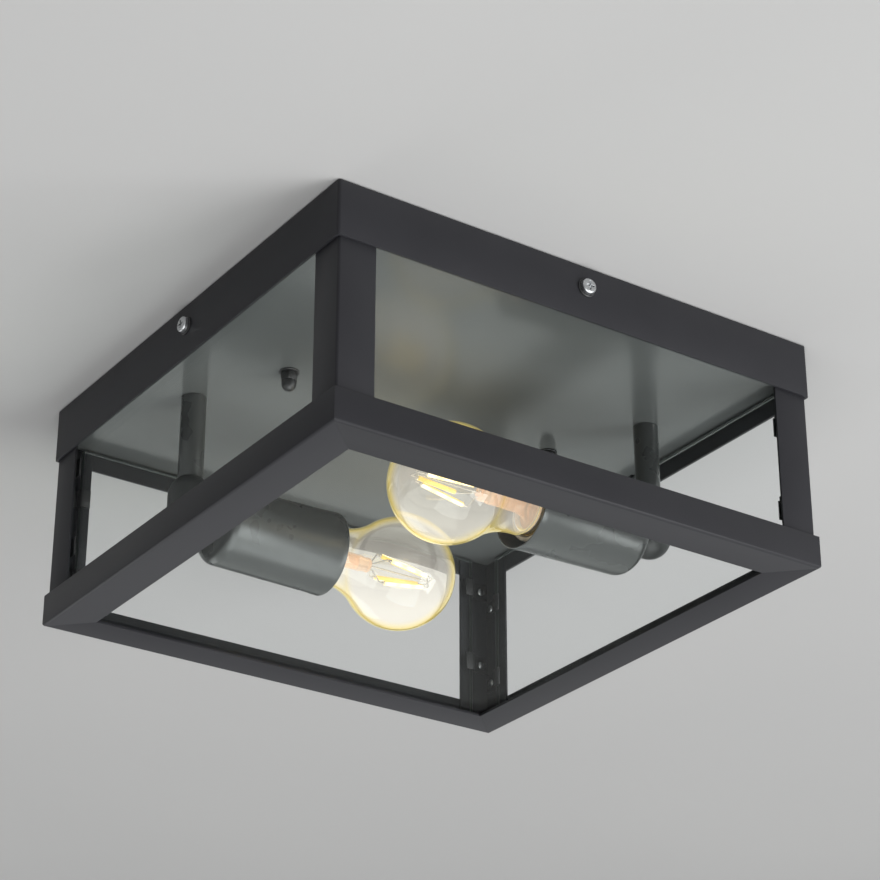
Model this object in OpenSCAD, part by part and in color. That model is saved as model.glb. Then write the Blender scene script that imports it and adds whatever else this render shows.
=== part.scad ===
// Square flush-mounted porch ceiling lantern with two lamps.
// Origin: centre of the ceiling plane. +Z points up into the ceiling, and the lantern hangs below.
// Sides and corners are numbered anticlockwise seen from above: side 1 faces -Y, side 2 faces +X,
// side 3 faces +Y, side 4 faces -X. Corner 1 is at -X -Y. The left lamp holder hangs at -X and
// opens towards +X. The right one is the same turned half round.

/* [Lantern body] */
// Outside width of the square body
body_w = 280; // [264:1:320]
// Height from the ceiling to the underside
body_h = 123; // [114:1:160]
// Thickness of the folded sheet of the top band and the bottom rails
sheet_t = 1.5; // [1:0.1:2]
// Height of the top band
band_h = 29; // [25:0.5:36]
// Height of the bottom rails' outer face
rail_h = 17; // [12:0.5:22]
// Width of the bottom rails' ledge
ledge_w = 20.5; // [16:0.5:26]
// Radius of the folded edges of the band and the rails
fold_r = 1.6; // [0.8:0.1:2]

/* [Corner posts] */
// Width of each leg of a post
post_leg = 20; // [18:0.5:26]
// Sheet thickness of a post
post_t = 1.2; // [0.8:0.1:2]
// Radius of a post's folded edge
post_fold_r = 1.3; // [0.6:0.1:1.5]
// Gap between the top of a post and the pan
post_top_gap = 0.8; // [0.4:0.1:2]

/* [Glass] */
// Thickness of the panes
pane_t = 3; // [2:0.5:4]
// Width of pane that lies behind each post
pane_lap = 6.5; // [4:0.5:8]
// Gap between a side pane and the posts
pane_gap = 0.2; // [0.1:0.05:0.5]
// Gap between a side pane's top edge and the pan
pane_top_gap = 1.3; // [0.5:0.1:3]
// Gap between the bottom pane and the side panes
bottom_gap = 0.6; // [0.3:0.1:2]

/* [Glass clips] */
// Thickness of a clip
clip_t = 0.8; // [0.5:0.1:1.2]
// Height of a clip
clip_h = 10; // [8:0.5:10.5]
// Length of a clip's tongue over the glass
clip_tongue_l = 5; // [4:0.1:8]
// Gap between a clip and the glass
clip_gap = 0.2; // [0.1:0.05:0.4]
// Distance from the post's fold to the clip's stud
clip_stud_in = 6; // [5:0.5:7]
// Distance from the band's lower edge to the middle of an upper clip
clip_drop = 9; // [6:0.5:14]
// Distance from the rail's upper edge to the middle of a lower clip
clip_rise = 11.5; // [8:0.5:16]
// Height between the clips at the two ends of a pane
clip_stagger = 11; // [11:0.5:13]
// Radius of a clip stud's shank
clip_stud_r = 1.5; // [1:0.1:1.7]
// Radius of a clip stud's head
clip_head_r = 2.2; // [1.9:0.1:2.6]
// Height of a clip stud's head
clip_head_h = 1.2; // [0.8:0.1:1.6]

/* [Side screws] */
// Distance from the ceiling to the side screws
screw_drop = 11.6; // [9:0.2:14]
// Radius of the screw's shank
screw_r = 2; // [1.5:0.1:2.5]
// Radius of the screw's head
screw_head_r = 4; // [3:0.1:4.6]
// Height of the screw's head
screw_head_h = 2.6; // [2:0.1:3.5]
// Length of the screw that stands out of its nut
screw_end = 0.5; // [0.2:0.1:2]
// Radius of the screw's washer
screw_washer_r = 4.8; // [4.7:0.1:6]
// Thickness of the screw's washer
screw_washer_t = 0.8; // [0.5:0.1:1.2]
// Width of the square nut
screw_nut_w = 7; // [6:0.5:9]
// Thickness of the square nut
screw_nut_t = 2.2; // [1.6:0.1:3]
// Gap between the square nut and the pan's wall
screw_nut_gap = 0.2; // [0.1:0.05:0.5]

/* [Base pan] */
// Depth from the ceiling to the pan's underside
pan_h = 19.2; // [18:0.2:22]
// Sheet thickness of the pan's floor
pan_t = 1; // [0.8:0.1:1.5]
// Sheet thickness of the frame that stands on the floor's edges
pan_frame_t = 1; // [0.8:0.1:1.5]
// Gap between the pan and the top band
pan_gap = 0.5; // [0.3:0.1:1]
// Width of the frame's upper and lower flanges
pan_flange_w = 6; // [4:0.5:10]
// Thickness of the foam gasket on the upper flange
gasket_t = 2; // [1:0.5:3]

/* [Ceiling bracket] */
// Length of the bracket
bracket_l = 190; // [180:1:205]
// Width of the bracket
bracket_w = 24; // [18:1:30]
// Thickness of the bracket
bracket_t = 2; // [1.5:0.1:3]
// Distance between the two ceiling screw slots
slot_spacing = 88.9; // [80:0.1:96]
// Length of a ceiling screw slot
slot_l = 22; // [12:1:30]
// Width of a ceiling screw slot
slot_w = 5; // [4:0.1:6]
// Radius of the cable hole in the bracket
cable_hole_r = 6; // [5:0.5:8]
// Distance between the two studs
stud_spacing = 160; // [140:1:170]
// Radius of a stud
stud_r = 2.5; // [2:0.1:3]
// Gap between the studs and the pan
stud_gap = 0.4; // [0.2:0.1:0.8]
// Length of stud inside its cap nut
stud_in_nut = 6; // [4:0.5:7]
// Radius of the washer under a cap nut
nut_washer_r = 5; // [4.8:0.1:7]
// Thickness of that washer
nut_washer_t = 1; // [0.6:0.1:1.5]
// Width of a cap nut across its flats
cap_nut_af = 8; // [7.5:0.5:9]
// Height of a cap nut's hexagon
cap_nut_hex_h = 4.5; // [3:0.5:6]
// Whole height of a cap nut
cap_nut_h = 10; // [9.5:0.1:12]

/* [Wiring] */
// Distance from the centre to the middle of the terminal block
block_y = 44; // [36:1:60]
// Length of the terminal block
block_l = 30; // [27:1:36]
// Depth of the terminal block
block_d = 18; // [15:1:24]
// Height of the terminal block
block_h = 12; // [9:0.5:13]
// Distance between the terminal's poles
pole_pitch = 10; // [8:0.5:11]
// Radius of the terminal's wire holes
port_r = 2.6; // [2.5:0.1:3]
// Radius of a clamp screw
clamp_screw_r = 1.9; // [1.4:0.1:2.2]
// Depth of the clamp screws below the block's top
clamp_screw_sink = 1; // [0.5:0.1:2]
// Radius of a lead over its insulation
lead_r = 1.1; // [0.8:0.1:1.2]
// Radius of the earthing stud
earth_stud_r = 2; // [1.5:0.1:2.5]
// Height of the earthing stud
earth_stud_h = 9; // [7:0.5:12]

/* [Drop tubes] */
// Distance between a knuckle and the side pane behind it
end_space = 18; // [8:0.5:24]
// Distance between the two lamps' axes
lamp_spread = 104; // [92:1:120]
// Outside radius of a drop tube
tube_r = 6.5; // [6:0.1:7.5]
// Inside radius of a drop tube
tube_bore_r = 5.3; // [5.1:0.1:5.8]
// Outside radius of the hollow threaded nipples
nipple_r = 4.9; // [4.5:0.1:5]
// Inside radius of the hollow threaded nipples
nipple_bore_r = 3.4; // [3.3:0.1:3.8]
// Gap round the nipples in their holes
nipple_gap = 0.15; // [0.05:0.05:0.2]
// Width of a nipple nut across its flats
nipple_nut_af = 14; // [13:0.5:16]
// Thickness of a nipple nut
nipple_nut_t = 3; // [2:0.5:4]
// Length of nipple that stands out of its nut
nipple_end = 1; // [0.5:0.5:3]

/* [Knuckles] */
// Radius of a knuckle's body
knuckle_r = 11; // [9:0.5:12]
// Height of the middle of the knuckle's dome above the lamp's axis
dome_rise = 10.5; // [8:0.5:13]
// Depth of the knuckle's rounded foot below the lamp's axis
foot_drop = 8; // [7:0.5:10]
// Radius of the boss that meets the cup
boss_r = 7.5; // [6.5:0.5:9]
// Distance from the tube's axis to the cup's back
boss_l = 13; // [12.5:0.5:18]
// Depth of the threaded holes in the boss and the dome
knuckle_thread_l = 8; // [5:0.5:8]

/* [Lamp holders] */
// Radius of a cup at its back
cup_back_r = 20.8; // [20:0.1:24]
// Radius of a cup at its mouth
cup_mouth_r = 22; // [20.5:0.1:25]
// Length of a cup
cup_l = 68; // [62:1:76]
// Sheet thickness of a cup
cup_t = 0.9; // [0.6:0.1:1.5]
// Radius of the edge round the cup's back
cup_edge_r = 6; // [3:0.5:8]
// Distance from the lamp's cap back to the cup's mouth
cap_inset = 4; // [2:0.5:8]
// Outside radius of the ceramic core
core_r = 16.8; // [16.3:0.1:18]
// Thickness of the core's floor
core_floor_t = 6; // [4:0.5:8]
// Thickness of the steel saddle that holds the core
saddle_t = 1.2; // [0.8:0.1:1.6]
// Width of the saddle's strap
saddle_w = 14; // [12:0.5:16]
// Distance of the saddle's arms from the axis
saddle_arm_r = 12; // [10:0.5:13]
// Sheet thickness of the threaded shell
shell_t = 0.4; // [0.3:0.05:0.6]
// Gap between the lamp's thread and the threaded shell
thread_gap = 0.3; // [0.2:0.05:0.5]
// Gap between the shell and the core
shell_gap = 0.15; // [0.05:0.05:0.3]
// Sheet thickness of the centre contact
contact_t = 0.4; // [0.3:0.05:0.6]
// Width of the centre contact
contact_w = 5; // [4:0.5:7]
// Length of the centre contact's folded tongue
contact_l = 6; // [5:0.5:8]
// Gap between the centre contact and the lamp
contact_gap = 0.3; // [0.1:0.05:0.5]

/* [Lamps] */
// Width of the glass globe
globe_d = 60; // [52:1:68]
// Length of a lamp
lamp_l = 105; // [98:1:115]
// Gap between the globe and the bottom pane
lamp_clear = 3.5; // [2:0.5:8]
// Radius of the glass neck
neck_r = 15; // [14.5:0.1:16]
// Length of straight neck in front of the metal cap
neck_l = 5.4; // [4.5:0.1:7]
// Wall of the glass
glass_t = 0.8; // [0.5:0.1:1.2]
// Length of the metal cap with its contact
cap_l = 27; // [26:0.5:28]
// Radius of the cap over its thread
cap_r = 13.05; // [12.9:0.05:13.2]
// Depth of the thread
thread_depth = 0.9; // [0.6:0.1:1]
// Pitch of the thread
thread_pitch = 3.6; // [3.2:0.1:4]
// Distance from the cap's rim back to the start of its thread
thread_back = 19.5; // [18.5:0.1:20.5]
// Length of the contact's insulator behind the metal cap
heel_l = 4.2; // [3.5:0.1:5]
// Sheet thickness of the cap
cap_t = 0.4; // [0.3:0.05:0.5]
// Radius of the glass mount's tube
stem_r = 4.2; // [3.5:0.1:5]
// Length of the glass mount past the cap
stem_l = 30; // [26:1:34]
// Length of a filament stick
filament_l = 27; // [24:1:30]
// Radius of a filament stick
filament_r = 1.2; // [0.8:0.1:1.5]
// Distance of the sticks from the axis at the mount
filament_base_r = 8.5; // [6:0.5:10]
// Distance of the sticks from the axis at the crown
filament_top_r = 4; // [3:0.5:5]
// Distance from the mount to the sticks
filament_start = 7; // [6:0.5:9]
// Turn of the four sticks about the axis
filament_turn = -10; // [-45:5:45]
// Radius of the support wires
wire_r = 0.4; // [0.3:0.05:0.6]

/* [Hidden] */

$fn = 64;
sliver = 0.1;                    // overlap of a cutting shape past a face

half_w = body_w / 2;
post_face = half_w - sheet_t;    // outer face of the posts, on the band's inner face
post_inner = post_face - post_t; // inner face of the posts
ledge_top = -(body_h - sheet_t); // upper face of the bottom rails' ledge
pane_outer = post_inner - pane_gap;
pane_inner = pane_outer - pane_t;
pane_half_l = post_face - post_leg + pane_lap;
pane_top = -(pan_h + pane_top_gap);
bottom_half = pane_inner - bottom_gap;

pan_half = post_face - pan_gap;  // outer face of the pan's frame
pan_inner = pan_half - pan_frame_t;
flange_inner = pan_half - pan_flange_w;
floor_top = -(pan_h - pan_t);
frame_top = -gasket_t;

// Lamp positions: the holders hang between the side panes, the globes just over the bottom pane
globe_r = globe_d / 2;
lamp_z = ledge_top + pane_t + lamp_clear + globe_r;
tube_x = pane_inner - end_space - knuckle_r;
lamp_y = lamp_spread / 2;

// Places along a lamp's own axis, from the drop tube towards the globe
cup_x = boss_l;
cup_mouth_x = cup_x + cup_l;
cap_x = cup_mouth_x - cap_inset; // where the glass leaves the cap
tip_x = cap_x - cap_l;           // end of the lamp's contact
crown_x = tip_x + lamp_l;
globe_x = crown_x - globe_r;
core_mouth_x = cap_x - 1.5;
core_floor_x = tip_x - 2.5;
core_back_x = core_floor_x - core_floor_t;
stem_x = cap_x + stem_l;         // end of the glass mount
stick_x0 = stem_x + filament_start;
stick_x1 = stick_x0 + filament_l;

knuckle_top = dome_rise + sqrt(pow(knuckle_r, 2) - pow(tube_r, 2)); // flat that the tube stands on
tube_foot = lamp_z + knuckle_top;
rod_foot = tube_foot - knuckle_thread_l;
rod_top = floor_top + nipple_nut_t + nipple_end;

shell_r = cap_r + thread_gap;    // smallest radius of the threaded shell
core_bore_r = shell_r + thread_depth + shell_t + shell_gap;

screw_z = -screw_drop;
screw_hole_r = screw_r + 0.3;
notch_r = screw_r + 0.4;         // half width of the pan's notches for the side screws
nut_outer = pan_inner - screw_nut_gap;
nut_inner = nut_outer - screw_nut_t;
screw_tip = nut_inner - screw_end;

stud_x = stud_spacing / 2;
washer_under = -(pan_h + nut_washer_t);
stud_foot = washer_under - stud_in_nut;
clip_base_end = pane_half_l + 0.3; // the clip's riser stands just past the pane's edge

upper_clip_z = -(band_h + clip_drop);
lower_clip_z = -(body_h - rail_h) + clip_rise + clip_stagger;

block_top = floor_top + block_h;
port_z = floor_top + block_h * 0.42;

// ---- helpers -------------------------------------------------------------------------------

function arc(c, r, a0, a1, n) =
    [for (i = [0:n]) let (a = a0 + (a1 - a0) * i / n) [c[0] + r * cos(a), c[1] + r * sin(a)]];

function unit(v) = v / norm(v);

// A bent route with a short curve in place of each inner corner
function rounded_route(p, r, n = 4) = concat(
    [p[0]],
    [for (i = [1:len(p) - 2])
        let (to_last = p[i - 1] - p[i], to_next = p[i + 1] - p[i],
             d = min(r, 0.45 * norm(to_last), 0.45 * norm(to_next)),
             s = p[i] + d * unit(to_last), e = p[i] + d * unit(to_next))
        for (k = [0:n]) let (t = k / n)
            (1 - t) * (1 - t) * s + 2 * t * (1 - t) * p[i] + t * t * e],
    [p[len(p) - 1]]);

function tangent(p, i) = unit(p[min(i + 1, len(p) - 1)] - p[max(i - 1, 0)]);

// A round wire along the points of a route
module wire_along(p, r, sides = 8) {
    aside = [0.53, 0.62, 0.58];
    points = [for (i = [0:len(p) - 1])
        let (t = tangent(p, i), u = unit(cross(t, aside)), v = cross(t, u))
        for (k = [0:sides - 1]) p[i] + r * (cos(360 * k / sides) * u + sin(360 * k / sides) * v)];
    skin = [for (i = [0:len(p) - 2], k = [0:sides - 1])
        let (a = i * sides + k, b = i * sides + (k + 1) % sides)
        each [[a, a + sides, b + sides], [a, b + sides, b]]];
    first = [for (k = [0:sides - 1]) k];
    last = [for (k = [sides - 1:-1:0]) (len(p) - 1) * sides + k];
    polyhedron(points = points, faces = concat([first, last], skin));
}

// A solid of revolution about X, from points [radius, x]
module turned(points) {
    rotate([0, 90, 0]) rotate_extrude() polygon(points);
}

module ring_x(r, bore_r, x0, x1) {
    translate([x0, 0, 0]) rotate([0, 90, 0]) difference() {
        cylinder(r = r, h = x1 - x0);
        translate([0, 0, -sliver]) cylinder(r = bore_r, h = x1 - x0 + 2 * sliver);
    }
}

module hexagon(af, h) {
    cylinder(r = af / 2 / cos(30), h = h, $fn = 6);
}

// Side number n stands where side 1 does, turned
module at_side(n) {
    rotate([0, 0, 90 * (n - 1)]) children();
}

// The left lamp's own place, or the right one's, with X along the lamp
module at_lamp(right) {
    rotate([0, 0, right ? 180 : 0]) translate([-tube_x, lamp_y, lamp_z]) children();
}

module both_lamps() {
    for (right = [false, true]) at_lamp(right) children();
}

// The tubes' own places, at ceiling height
module both_tubes() {
    for (a = [0, 180]) rotate([0, 0, a]) translate([-tube_x, lamp_y, 0]) children();
}

// ---- ceiling bracket and base pan ----------------------------------------------------------

module slot(l, w, h) {
    linear_extrude(h) {
        square([l - w, w], center = true);
        for (s = [-1, 1]) translate([s * (l - w) / 2, 0]) circle(r = w / 2);
    }
}

module ceiling_bracket() {
    color("silver") difference() {
        translate([-bracket_l / 2, -bracket_w / 2, -bracket_t])
            cube([bracket_l, bracket_w, bracket_t]);
        for (s = [-1, 1]) translate([s * slot_spacing / 2, 0, -bracket_t - sliver])
            slot(slot_l, slot_w, bracket_t + 2 * sliver);
        translate([0, 0, -bracket_t - sliver])
            cylinder(r = cable_hole_r, h = bracket_t + 2 * sliver);
    }
}

module bracket_studs() {
    color("silver") for (s = [-1, 1]) translate([s * stud_x, 0, stud_foot])
        cylinder(r = stud_r, h = -bracket_t - stud_foot);
}

// Notch at side 1 that is open below, so that the loosened screw and its nut can drop out
module screw_notch() {
    translate([0, -pan_inner + sliver, screw_z]) rotate([90, 0, 0])
        cylinder(r = notch_r, h = pan_frame_t + 2 * sliver);
    translate([-notch_r, -pan_half - sliver, -pan_h - sliver])
        cube([2 * notch_r, pan_frame_t + 2 * sliver, pan_h - screw_drop + sliver]);
    pocket_w = screw_nut_w + 1;
    translate([-pocket_w / 2, -pan_half - sliver, -pan_h - sliver])
        cube([pocket_w, pan_half - screw_tip + 0.5, pan_t + pan_frame_t + 2 * sliver]);
}

// Flat floor of the pan, with its holes
module base_pan() {
    color([0.52, 0.54, 0.53]) difference() {
        translate([-pan_half, -pan_half, -pan_h]) cube([2 * pan_half, 2 * pan_half, pan_t]);
        for (s = [-1, 1]) translate([s * stud_x, 0, -pan_h - sliver])
            cylinder(r = stud_r + stud_gap, h = pan_t + 2 * sliver);
        both_tubes() translate([0, 0, -pan_h - sliver])
            cylinder(r = nipple_r + nipple_gap, h = pan_t + 2 * sliver);
        for (n = [1:4]) at_side(n) screw_notch();
    }
}

// Channel-section frame that is welded on the floor's edges and carries the gasket
module pan_frame() {
    color([0.52, 0.54, 0.53]) difference() {
        translate([-pan_half, -pan_half, floor_top])
            cube([2 * pan_half, 2 * pan_half, frame_top - floor_top]);
        translate([-pan_inner, -pan_inner, floor_top + pan_frame_t])
            cube([2 * pan_inner, 2 * pan_inner, frame_top - floor_top - 2 * pan_frame_t]);
        translate([-flange_inner, -flange_inner, floor_top - sliver])
            cube([2 * flange_inner, 2 * flange_inner, pan_h]);
        for (n = [1:4]) at_side(n) screw_notch();
    }
}

module pan_gasket() {
    color([0.12, 0.12, 0.12]) translate([0, 0, frame_top]) linear_extrude(gasket_t) difference() {
        square(2 * pan_half, center = true);
        square(2 * flange_inner, center = true);
    }
}

module nut_washers() {
    color([0.2, 0.2, 0.21]) for (s = [-1, 1]) translate([s * stud_x, 0, washer_under]) difference() {
        cylinder(r = nut_washer_r, h = nut_washer_t);
        translate([0, 0, -sliver]) cylinder(r = stud_r + 0.25, h = nut_washer_t + 2 * sliver);
    }
}

module cap_nut() {
    dome_r = cap_nut_af / 2 - 0.3;
    difference() {
        union() {
            translate([0, 0, -cap_nut_hex_h]) hexagon(cap_nut_af, cap_nut_hex_h);
            translate([0, 0, -cap_nut_h + dome_r]) cylinder(r = dome_r, h = cap_nut_h - dome_r - 1);
            translate([0, 0, -cap_nut_h + dome_r]) sphere(r = dome_r);
        }
        translate([0, 0, -stud_in_nut - 0.5])
            cylinder(r = stud_r + 0.05, h = stud_in_nut + 0.5 + sliver);
    }
}

module cap_nuts() {
    color([0.2, 0.2, 0.21]) for (s = [-1, 1]) translate([s * stud_x, 0, washer_under]) cap_nut();
}

// ---- wiring in the pan ---------------------------------------------------------------------

module terminal_block() {
    color("ivory") difference() {
        translate([-block_l / 2, block_y - block_d / 2, floor_top]) cube([block_l, block_d, block_h]);
        for (p = [-1:1]) {
            translate([p * pole_pitch, block_y - block_d / 2 - sliver, port_z]) rotate([-90, 0, 0])
                cylinder(r = port_r, h = block_d + 2 * sliver);
            for (s = [-1, 1]) translate([p * pole_pitch, block_y + s * block_d / 4, port_z])
                cylinder(r = clamp_screw_r + 0.1, h = block_h);
        }
    }
}

module terminal_screws() {
    color("goldenrod") for (p = [-1:1], s = [-1, 1])
        translate([p * pole_pitch, block_y + s * block_d / 4, port_z + lead_r + 0.2]) difference() {
            screw_h = block_top - clamp_screw_sink - port_z - lead_r - 0.2;
            cylinder(r = clamp_screw_r, h = screw_h);
            translate([-clamp_screw_r, -0.3, screw_h - 0.7]) cube([2 * clamp_screw_r, 0.6, 1]);
        }
}

earth_at = [20, block_y - block_d / 2 - 11]; // place of the earthing stud on the pan's floor

module earth_stud() {
    nut_h = 3;
    color("goldenrod") translate([earth_at[0], earth_at[1], floor_top]) {
        cylinder(r = earth_stud_r, h = earth_stud_h);
        translate([0, 0, lead_r * 2 + 0.4]) hexagon(earth_stud_r * 3.5, nut_h);
    }
}

module earth_lead() {
    eye_t = lead_r * 2;
    eye_r = earth_stud_r + 2.2;
    low = floor_top + 0.2 + lead_r;
    color("yellowgreen") {
        wire_along(rounded_route([
            [0, block_y - block_d / 2 + 3, port_z],
            [0, earth_at[1], port_z],
            [earth_at[0] - 12, earth_at[1], low],
            [earth_at[0] - eye_r + 0.3, earth_at[1], low]
        ], 4), lead_r);
        translate([earth_at[0], earth_at[1], floor_top + 0.2]) difference() {
            cylinder(r = eye_r, h = eye_t);
            translate([0, 0, -sliver]) cylinder(r = earth_stud_r + 0.2, h = eye_t + 2 * sliver);
        }
    }
}

// The leads leave the terminal in the pan, go over the top of a drop nipple, down its bore,
// round the knuckle and along the holder's nipple to the back of the ceramic core. The right
// holder's leads run low over the floor, and the left holder's run above them.
lead_side = 1.3;                 // distance of two neighbouring leads from the line between them
block_edge = block_y + block_d / 2;
low_z = floor_top + lead_r + 0.3;
high_z = port_z + 2;
over_z = rod_top + 4;

function holder_run(right, side) =
    let (turn = right ? -1 : 1, x0 = -turn * tube_x, y0 = turn * (lamp_y + lead_side * side),
         end_y = y0 + turn * 4 * side)
    [[x0, y0, over_z], [x0, y0, lamp_z], [x0 + turn * (cup_x + 8), y0, lamp_z],
     [x0 + turn * (core_back_x - 0.2), end_y, lamp_z]];

function left_lead(side) =
    let (port_x = side * pole_pitch - lead_side, run_y = block_edge + (side > 0 ? 11 : 5),
         y0 = lamp_y + lead_side * side)
    concat([[port_x, block_edge - 3, port_z], [port_x, run_y, high_z], [-60, run_y, high_z],
            [20 - tube_x, y0, over_z]], holder_run(false, side));

function right_lead(side) =
    let (port_x = side * pole_pitch + lead_side, run_y = block_edge + (side > 0 ? 5 : 11),
         run_x = stud_x + stud_r + (side > 0 ? 4 : 9), y0 = -lamp_y - lead_side * side)
    concat([[port_x, block_edge - 3, port_z], [port_x, run_y, low_z], [run_x, run_y, low_z],
            [run_x, 30 - lamp_y, low_z], [run_x, 12 - lamp_y, over_z], [run_x, y0, over_z]],
           holder_run(true, side));

module lamp_leads() {
    color("saddlebrown") for (side = [-1, 1]) {
        wire_along(rounded_route(left_lead(side), 4), lead_r);
        wire_along(rounded_route(right_lead(side), 4), lead_r);
    }
}

// ---- drop tubes, knuckles and lamp holders -------------------------------------------------

module tube() {
    color([0.33, 0.34, 0.34]) translate([-tube_x, lamp_y, tube_foot]) difference() {
        cylinder(r = tube_r, h = -pan_h - tube_foot);
        translate([0, 0, -sliver]) cylinder(r = tube_bore_r, h = -pan_h - tube_foot + 2 * sliver);
    }
}

module tube_left() tube();

module tube_right() rotate([0, 0, 180]) tube();

module drop_nipples() {
    color("silver") both_tubes() translate([0, 0, rod_foot]) difference() {
        cylinder(r = nipple_r, h = rod_top - rod_foot);
        translate([0, 0, -sliver]) cylinder(r = nipple_bore_r, h = rod_top - rod_foot + 2 * sliver);
    }
}

module nipple_nut() {
    difference() {
        hexagon(nipple_nut_af, nipple_nut_t);
        translate([0, 0, -sliver]) cylinder(r = nipple_r + 0.05, h = nipple_nut_t + 2 * sliver);
    }
}

module nipple_nuts() {
    color("silver") both_tubes() translate([0, 0, floor_top]) nipple_nut();
}

module knuckle() {
    foot_z = knuckle_r - foot_drop;
    dome_end = acos(tube_r / knuckle_r);
    body = concat([[0, -foot_drop]], arc([0, foot_z], knuckle_r, -85, 0, 12),
                  arc([0, dome_rise], knuckle_r, 0, dome_end, 12), [[0, knuckle_top]]);
    color([0.2, 0.2, 0.2]) difference() {
        union() {
            rotate_extrude() polygon(body);
            rotate([0, 90, 0]) cylinder(r = boss_r, h = boss_l);
        }
        translate([0, 0, knuckle_top - knuckle_thread_l - 0.3])
            cylinder(r = nipple_r + nipple_gap, h = knuckle_r * 2);
        cylinder(r = nipple_bore_r + 0.2, h = knuckle_top);
        rotate([0, 90, 0]) cylinder(r = nipple_bore_r + 0.2, h = boss_l + 1);
        translate([boss_l - knuckle_thread_l - 0.3, 0, 0]) rotate([0, 90, 0])
            cylinder(r = nipple_r + nipple_gap, h = boss_l);
        sphere(r = nipple_bore_r + 0.2);
    }
}

module knuckle_left() at_lamp(false) knuckle();

module knuckle_right() at_lamp(true) knuckle();

saddle_x = cup_x + cup_t;
holder_nut_x = saddle_x + saddle_t;

module holder_nipples() {
    front = holder_nut_x + nipple_nut_t + nipple_end;
    color("silver") both_lamps() ring_x(nipple_r, nipple_bore_r, boss_l - knuckle_thread_l, front);
}

module holder_nuts() {
    color("silver") both_lamps() translate([holder_nut_x, 0, 0]) rotate([0, 90, 0]) nipple_nut();
}

// U-shaped strap under the nut: its arms reach forward and their feet carry the ceramic core
module holder_saddle() {
    arm_l = core_back_x - saddle_x;
    foot_l = core_r - 2 - saddle_arm_r;
    difference() {
        translate([saddle_x, -saddle_w / 2, -saddle_arm_r])
            cube([saddle_t, saddle_w, 2 * saddle_arm_r]);
        rotate([0, 90, 0]) cylinder(r = nipple_r + nipple_gap, h = core_back_x);
    }
    for (s = [0, 1]) mirror([0, 0, s]) {
        translate([saddle_x, -saddle_w / 2, saddle_arm_r - saddle_t])
            cube([arm_l, saddle_w, saddle_t]);
        translate([core_back_x - saddle_t, -saddle_w / 2, saddle_arm_r - saddle_t])
            cube([saddle_t, saddle_w, foot_l + saddle_t]);
    }
}

module holder_saddles() {
    color("silver") both_lamps() holder_saddle();
}

module holder_cup() {
    e = cup_edge_r;
    edge_at = [cup_back_r - e, cup_x + e];
    hole_r = nipple_r + nipple_gap;
    color([0.36, 0.38, 0.37]) turned(concat(
        [[hole_r, cup_x]],
        arc(edge_at, e, -90, 0, 10),
        [[cup_mouth_r, cup_mouth_x], [cup_mouth_r - cup_t, cup_mouth_x]],
        arc(edge_at, e - cup_t, 0, -90, 10),
        [[hole_r, cup_x + cup_t]]));
}

module holder_cup_left() at_lamp(false) holder_cup();

module holder_cup_right() at_lamp(true) holder_cup();

module socket_core() {
    lip = 1;
    color("whitesmoke") turned([
        [0, core_back_x], [core_r - lip, core_back_x], [core_r, core_back_x + lip],
        [core_r, core_mouth_x - lip], [core_r - lip, core_mouth_x],
        [core_bore_r, core_mouth_x], [core_bore_r, core_floor_x], [0, core_floor_x]]);
}

module socket_core_left() at_lamp(false) socket_core();

module socket_core_right() at_lamp(true) socket_core();

// Rolled thread as evenly spaced rounded ridges, from x0 to about x1: inner ends of a profile
function ridges(r_low, depth, x0, count) =
    [for (i = [0:count * 8]) [r_low + depth * (1 - cos(360 * i / 8)) / 2, x0 + thread_pitch * i / 8]];

thread_turns = 4;
thread_x0 = cap_x - thread_back;

module socket_shells() {
    wave = ridges(shell_r, thread_depth, thread_x0, thread_turns);
    x1 = thread_x0 + thread_turns * thread_pitch;
    inside = concat([[shell_r, core_floor_x + 3]], wave, [[shell_r, core_mouth_x - 1]]);
    outside = [for (i = [len(inside) - 1:-1:0]) [inside[i][0] + shell_t, inside[i][1]]];
    color("goldenrod") both_lamps() turned(concat(inside, outside));
}

// Folded spring tongue on the core's floor, just behind the lamp's contact
module centre_contacts() {
    t = contact_t;
    half = contact_l / 2;
    reach = tip_x - contact_gap - core_floor_x;
    color("goldenrod") both_lamps() translate([core_floor_x, 0, 0]) rotate([90, 0, 0])
        translate([0, 0, -contact_w / 2]) linear_extrude(contact_w) polygon([
            [0, -contact_l], [t, -contact_l], [t, half - t], [reach - t, half - t],
            [reach - t, -half], [reach, -half], [reach, half], [0, half]]);
}

// ---- lamps ---------------------------------------------------------------------------------

// Half outline of the envelope, inset by t: crown, globe, hollow shoulder and neck
function envelope(t) =
    let (back = globe_x - cap_x - neck_l,
         shoulder_r = (pow(back, 2) + pow(neck_r, 2) - pow(globe_r, 2)) / 2 / (globe_r - neck_r),
         rise = neck_r + shoulder_r, a = atan2(-back, rise))
    concat(arc([0, globe_x], globe_r - t, 90, a, 40),
           arc([rise, globe_x - back], shoulder_r + t, 180 + a, 180, 14));

skirt_r = cap_r - cap_t - 0.25;  // glass inside the rim of the metal cap
skirt_l = 3.5;

module bulb_glass() {
    outside = concat(envelope(0), [[neck_r, cap_x + 3.5], [skirt_r, cap_x + 0.3],
                                   [skirt_r, cap_x - skirt_l]]);
    curve = envelope(glass_t);
    inside = [for (i = [len(curve) - 1:-1:0]) curve[i]];
    color([0.95, 0.97, 1, 0.35]) turned(concat(outside,
        [[skirt_r - glass_t, cap_x - skirt_l], [skirt_r - glass_t, cap_x + 0.7],
         [neck_r - glass_t, cap_x + 3.9]], inside));
}

heel_x = tip_x + heel_l;         // back edge of the metal cap

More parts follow.
